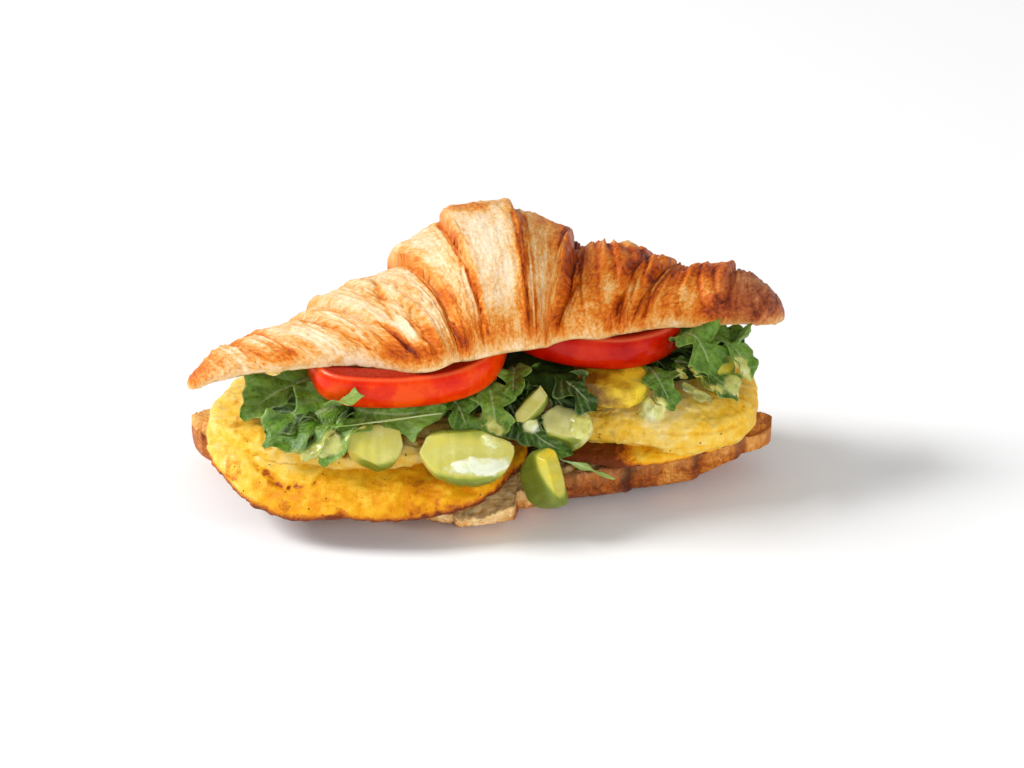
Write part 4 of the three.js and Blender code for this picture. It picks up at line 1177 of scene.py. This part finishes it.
def gathered_crust(x, w):
    """Pleats, ridges, streaks and fine grain, which slant where the roll is gathered."""
    skew = x + 0.4 * (w - 15) * bell(x - 36, 14) + 0.25 * w * bell(x - 60, 9) + 0.1 * w * ease(-x / 20)
    skew = skew - 0.5 * w * bell(x - 79, 7)
    pleats = (0.3 + 1.5 * swells(x, PLEATED)) * (0.5 - np.abs(grain(skew / 3.4, w / 22, 0, 32)))
    ridges = 0.12 + 0.23 * ease((np.abs(x) - 8) / 8) + 0.1 * ease((-x - 22) / 12)
    ridges = ridges * (0.5 - np.abs(grain(skew / 2.2, w / 16, 0, 45)))
    return pleats, ridges, grain(skew / 1.15, w / 8, 0, 33), grain(skew / 0.75, w / 1.2, 0, 34)


def blisters(x, w):
    """Small blisters in the crust, most of them on the left arm."""
    blistered = 0.3 + 1.3 * bell(x + 28, 6) * bell(w - 22, 10) + 0.8 * bell(x + 75, 10)
    return blistered * np.maximum(0, grain(x / 1.6, w / 1.8, 0, 36) - 0.2)


def folds_and_cracks(x, w):
    """How deep the folds and cracks are at each place, and how near the nearest of them is."""
    deep, nearest = 0 * w, 0 * w
    for x0, w0, x1, w1, width, depth in MARKS:
        near = bell(beside_line(x, w, x0, w0, x1, w1) + 0.3 * grain(x, w / 2, 0, 46), width)
        deep = deep + depth * near
        nearest = np.maximum(nearest, near)
    return deep, nearest


def oven_colour(x, w, from_rim, high):
    """How far the oven baked the roll at each place, apart from its pleats, flakes and layers."""
    bake = 0.17 + 0.28 * ease((x - 8) / 14)
    for x0, w0, along_reach, round_reach, amount in BAKED:
        bake = bake + amount * bell(x - x0, along_reach) * bell(w - w0, round_reach)
    bake = bake + 0.1 * high * ease((x - 6) / 10) - 0.1 * bell(from_rim, 1.8)
    return bake + (0.16 + 0.12 * grain(x / 6, 0 * w, 0, 47)) * bell(from_rim - 6, 4)


def laid_on_filling(x, y, z, smooth):
    """The roll's points, once its bands lean and both of its arms droop over what is under them."""
    x_bent = x + band_lean(x) * y / np.maximum(smooth, 1)
    z = z + 0.07 * y * ease((-x - 5) / 20)
    y = y - 4.6 * bell(x_bent + 45, 24)
    z = z - 0.0019 * x_bent**2 - 0.4 * ease((-x_bent - 50) / 12) - 1.4 * ease((-x_bent - 77) / 7)
    rings = np.stack([x_bent, y, z - swells(x_bent, DROOPS)], axis=2)
    return turned(rings, UPPER_TURN) + UPPER_MIDDLE


def upper_half():
    # The rolled bands, whose steps fade out towards the rims.
    spacing, dome_steps, face_steps = 0.32, 150, 24
    places = ring_places(UPPER_BANDS, spacing)
    q = np.abs(places)[:, None]
    a = (np.pi * np.arange(dome_steps) / dome_steps)[None, :]
    stepped = both_arms(UPPER_BANDS, places)[0]
    smooth = smoothed(stepped, 5 / spacing)[:, None]
    stepped = stepped[:, None]
    w = stepped * UPPER_WIDTH * (np.pi - a)  # distance round the roll from the front rim
    x = places[:, None] + 0 * w
    from_rim = np.minimum(w, stepped * UPPER_WIDTH * a)
    size, lip, tuck, since = both_arms(UPPER_BANDS, x, band_wander(x, w))
    size = mix(mix(stepped, smooth, ease((STEADY_FROM - q) / 10)), size, ease((from_rim - 0.5) / 11))
    half = size * UPPER_WIDTH
    front = half * (1 + swells(x, FRONT_SWELLS))
    reach = np.where(np.cos(a) < 0, front, half)

    # Pleats, thin layers, blisters, loose flakes and creases.
    pleats, ridges, streaks, fine = gathered_crust(x, w)
    layers = layers_behind_lip(since, 1.8, 2.2 * grain(w / 9, x / 40, 0, 35))
    torn = grain(x / 4.5, w / 7, 0, 37) + 0.3 * grain(x, w / 1.8, 0, 38)
    flakes = 0.24 * ease((torn - 0.16) / 0.1) + 0.22 * ease((torn - 0.48) / 0.1)
    flakes = flakes * mix(0.2, 1, ease((q - 6) / 6))
    relief = 0.5 * grain(x / 9, w / 12, 0, 39) + pleats + ridges + 0.11 * streaks + 0.15 * fine
    relief = relief + 0.35 * layers * ease(from_rim / 9) + blisters(x, w) + flakes
    deep, creased = folds_and_cracks(x, w)
    relief = (relief - deep) * ease(from_rim / 2.5 + 0.12) * ease(stepped / 4)
    torn_rim = 0.45 * grain(x / 2.3, a * 2, 0, 41) + 0.3 * grain(x / 0.9, a * 2, 0, 42)

    # The dome, and the arched cut face under it.
    y_dome = (reach + relief) * np.cos(a)
    z_dome = (size + relief) * np.sin(a) ** 0.9 + torn_rim * bell(np.sin(a), 0.16) * ease(size / 5)
    across = (2 * np.arange(face_steps) / face_steps - 1)[None, :]
    y_face = across * np.where(across < 0, front[:, -1:], half[:, :1])
    holes = 0.5 * grain(x[:, :1] / 2, y_face / 2, 0, 43) + 0.6 * grain(x[:, :1] / 5, y_face / 5, 0, 44)
    z_face = (1.5 + holes) * ease((1 - np.abs(across)) * 7) * ease(stepped / 6)
    y = np.concatenate([y_dome, y_face], axis=1)
    z = np.concatenate([z_dome, z_face], axis=1)
    along = places[:, None] + 0 * y

    # How far each place is baked, with painted light and shade. Lips and the edges of flakes catch more or
    # less.
    pleated = swells(x, PLEATED)
    bake = oven_colour(x, w, from_rim, ease((np.sin(a) - 0.75) / 0.25))
    # paler on the pleats' ridges and darker in their grooves: partly painted highlight and shade
    bake = bake + 0.08 * streaks + 0.06 * fine - 0.5 * pleats * pleated / (0.3 + 1.5 * pleated)
    edged = mix(0.45, 1, ease((x + 12) / 14)) * ease(from_rim / 9)
    # the tucks behind the lips are darkened: painted shade
    bake = bake + (0.16 * lip + 0.2 * tuck - 0.08 * layers) * edged
    # darker along the folds and cracks: painted shade
    bake = bake + mix(0.24, 0.13, ease((x - 14) / 10)) * creased
    bake = bake + 0.07 * ease((torn - 0.1) / 0.3) + 0.13 * bell(torn - 0.19, 0.04)
    flat = np.ones((len(places), face_steps))
    # the tip tones take over towards the right tip, partly as painted shade
    tip = ease((x - 62) / 14) * (0.6 + 0.4 * np.sin(a))
    return laid_on_filling(along, y, z, smooth), {
        "bake": np.concatenate([bake, 0.3 * flat], axis=1),
        "crumb": np.concatenate([0.35 * bell(from_rim, 0.9), flat], axis=1),
        "tip": np.concatenate([tip, 0 * flat], axis=1),
        "roll": np.stack([along, np.concatenate([w, y_face + 90], axis=1), 0 * y], axis=2),
    }


lay_down("croissant_upper_half", [upper_half()], upper_crust, "crust", "croissant_top")

# The room: a plain white floor under a large soft light from the left, with weaker light from the
# front and an even white surround.
FLOOR_REACH = 3.0  # in metres, from the middle to each side
floor_mesh = bpy.data.meshes.new("floor")
floor_corners = [(FLOOR_REACH * x, FLOOR_REACH * y, 0) for x, y in ((-1, -1), (1, -1), (1, 1), (-1, 1))]
floor_mesh.from_pydata(floor_corners, [], [(0, 1, 2, 3)])
floor = bpy.data.objects.new("floor", floor_mesh)
bpy.context.scene.collection.objects.link(floor)
white = Finish("white_floor")
white.coat({"Base Color": (0.96, 0.96, 0.96), "Roughness": 0.8, "Specular IOR Level": 0.1})
floor_mesh.materials.append(white.material)


def soft_light(name, place, width, watts, mirrored):
    light = bpy.data.objects.new(name, bpy.data.lights.new(name, "AREA"))
    light.data.size = width
    light.data.energy = watts
    light.location = place
    light.rotation_euler = (Vector(place) - VIEW_TARGET).to_track_quat("Z", "Y").to_euler()
    light.visible_glossy = mirrored
    bpy.context.scene.collection.objects.link(light)


soft_light("window", (-2.05, 0.1, 1.65), 1.0, 68, True)
soft_light("front_fill", (0.2, -2.5, 0.8), 1.6, 24, False)
soft_light("side_window", (1.81, -1.05, 0.68), 0.35, 11, False)
surround = bpy.data.worlds.new("surround")
surround.use_nodes = True
surround.node_tree.nodes["Background"].inputs["Color"].default_value = (1, 1, 1, 1)
surround.node_tree.nodes["Background"].inputs["Strength"].default_value = 0.4
bpy.context.scene.world = surround
bpy.context.scene.view_settings.view_transform = "Standard"
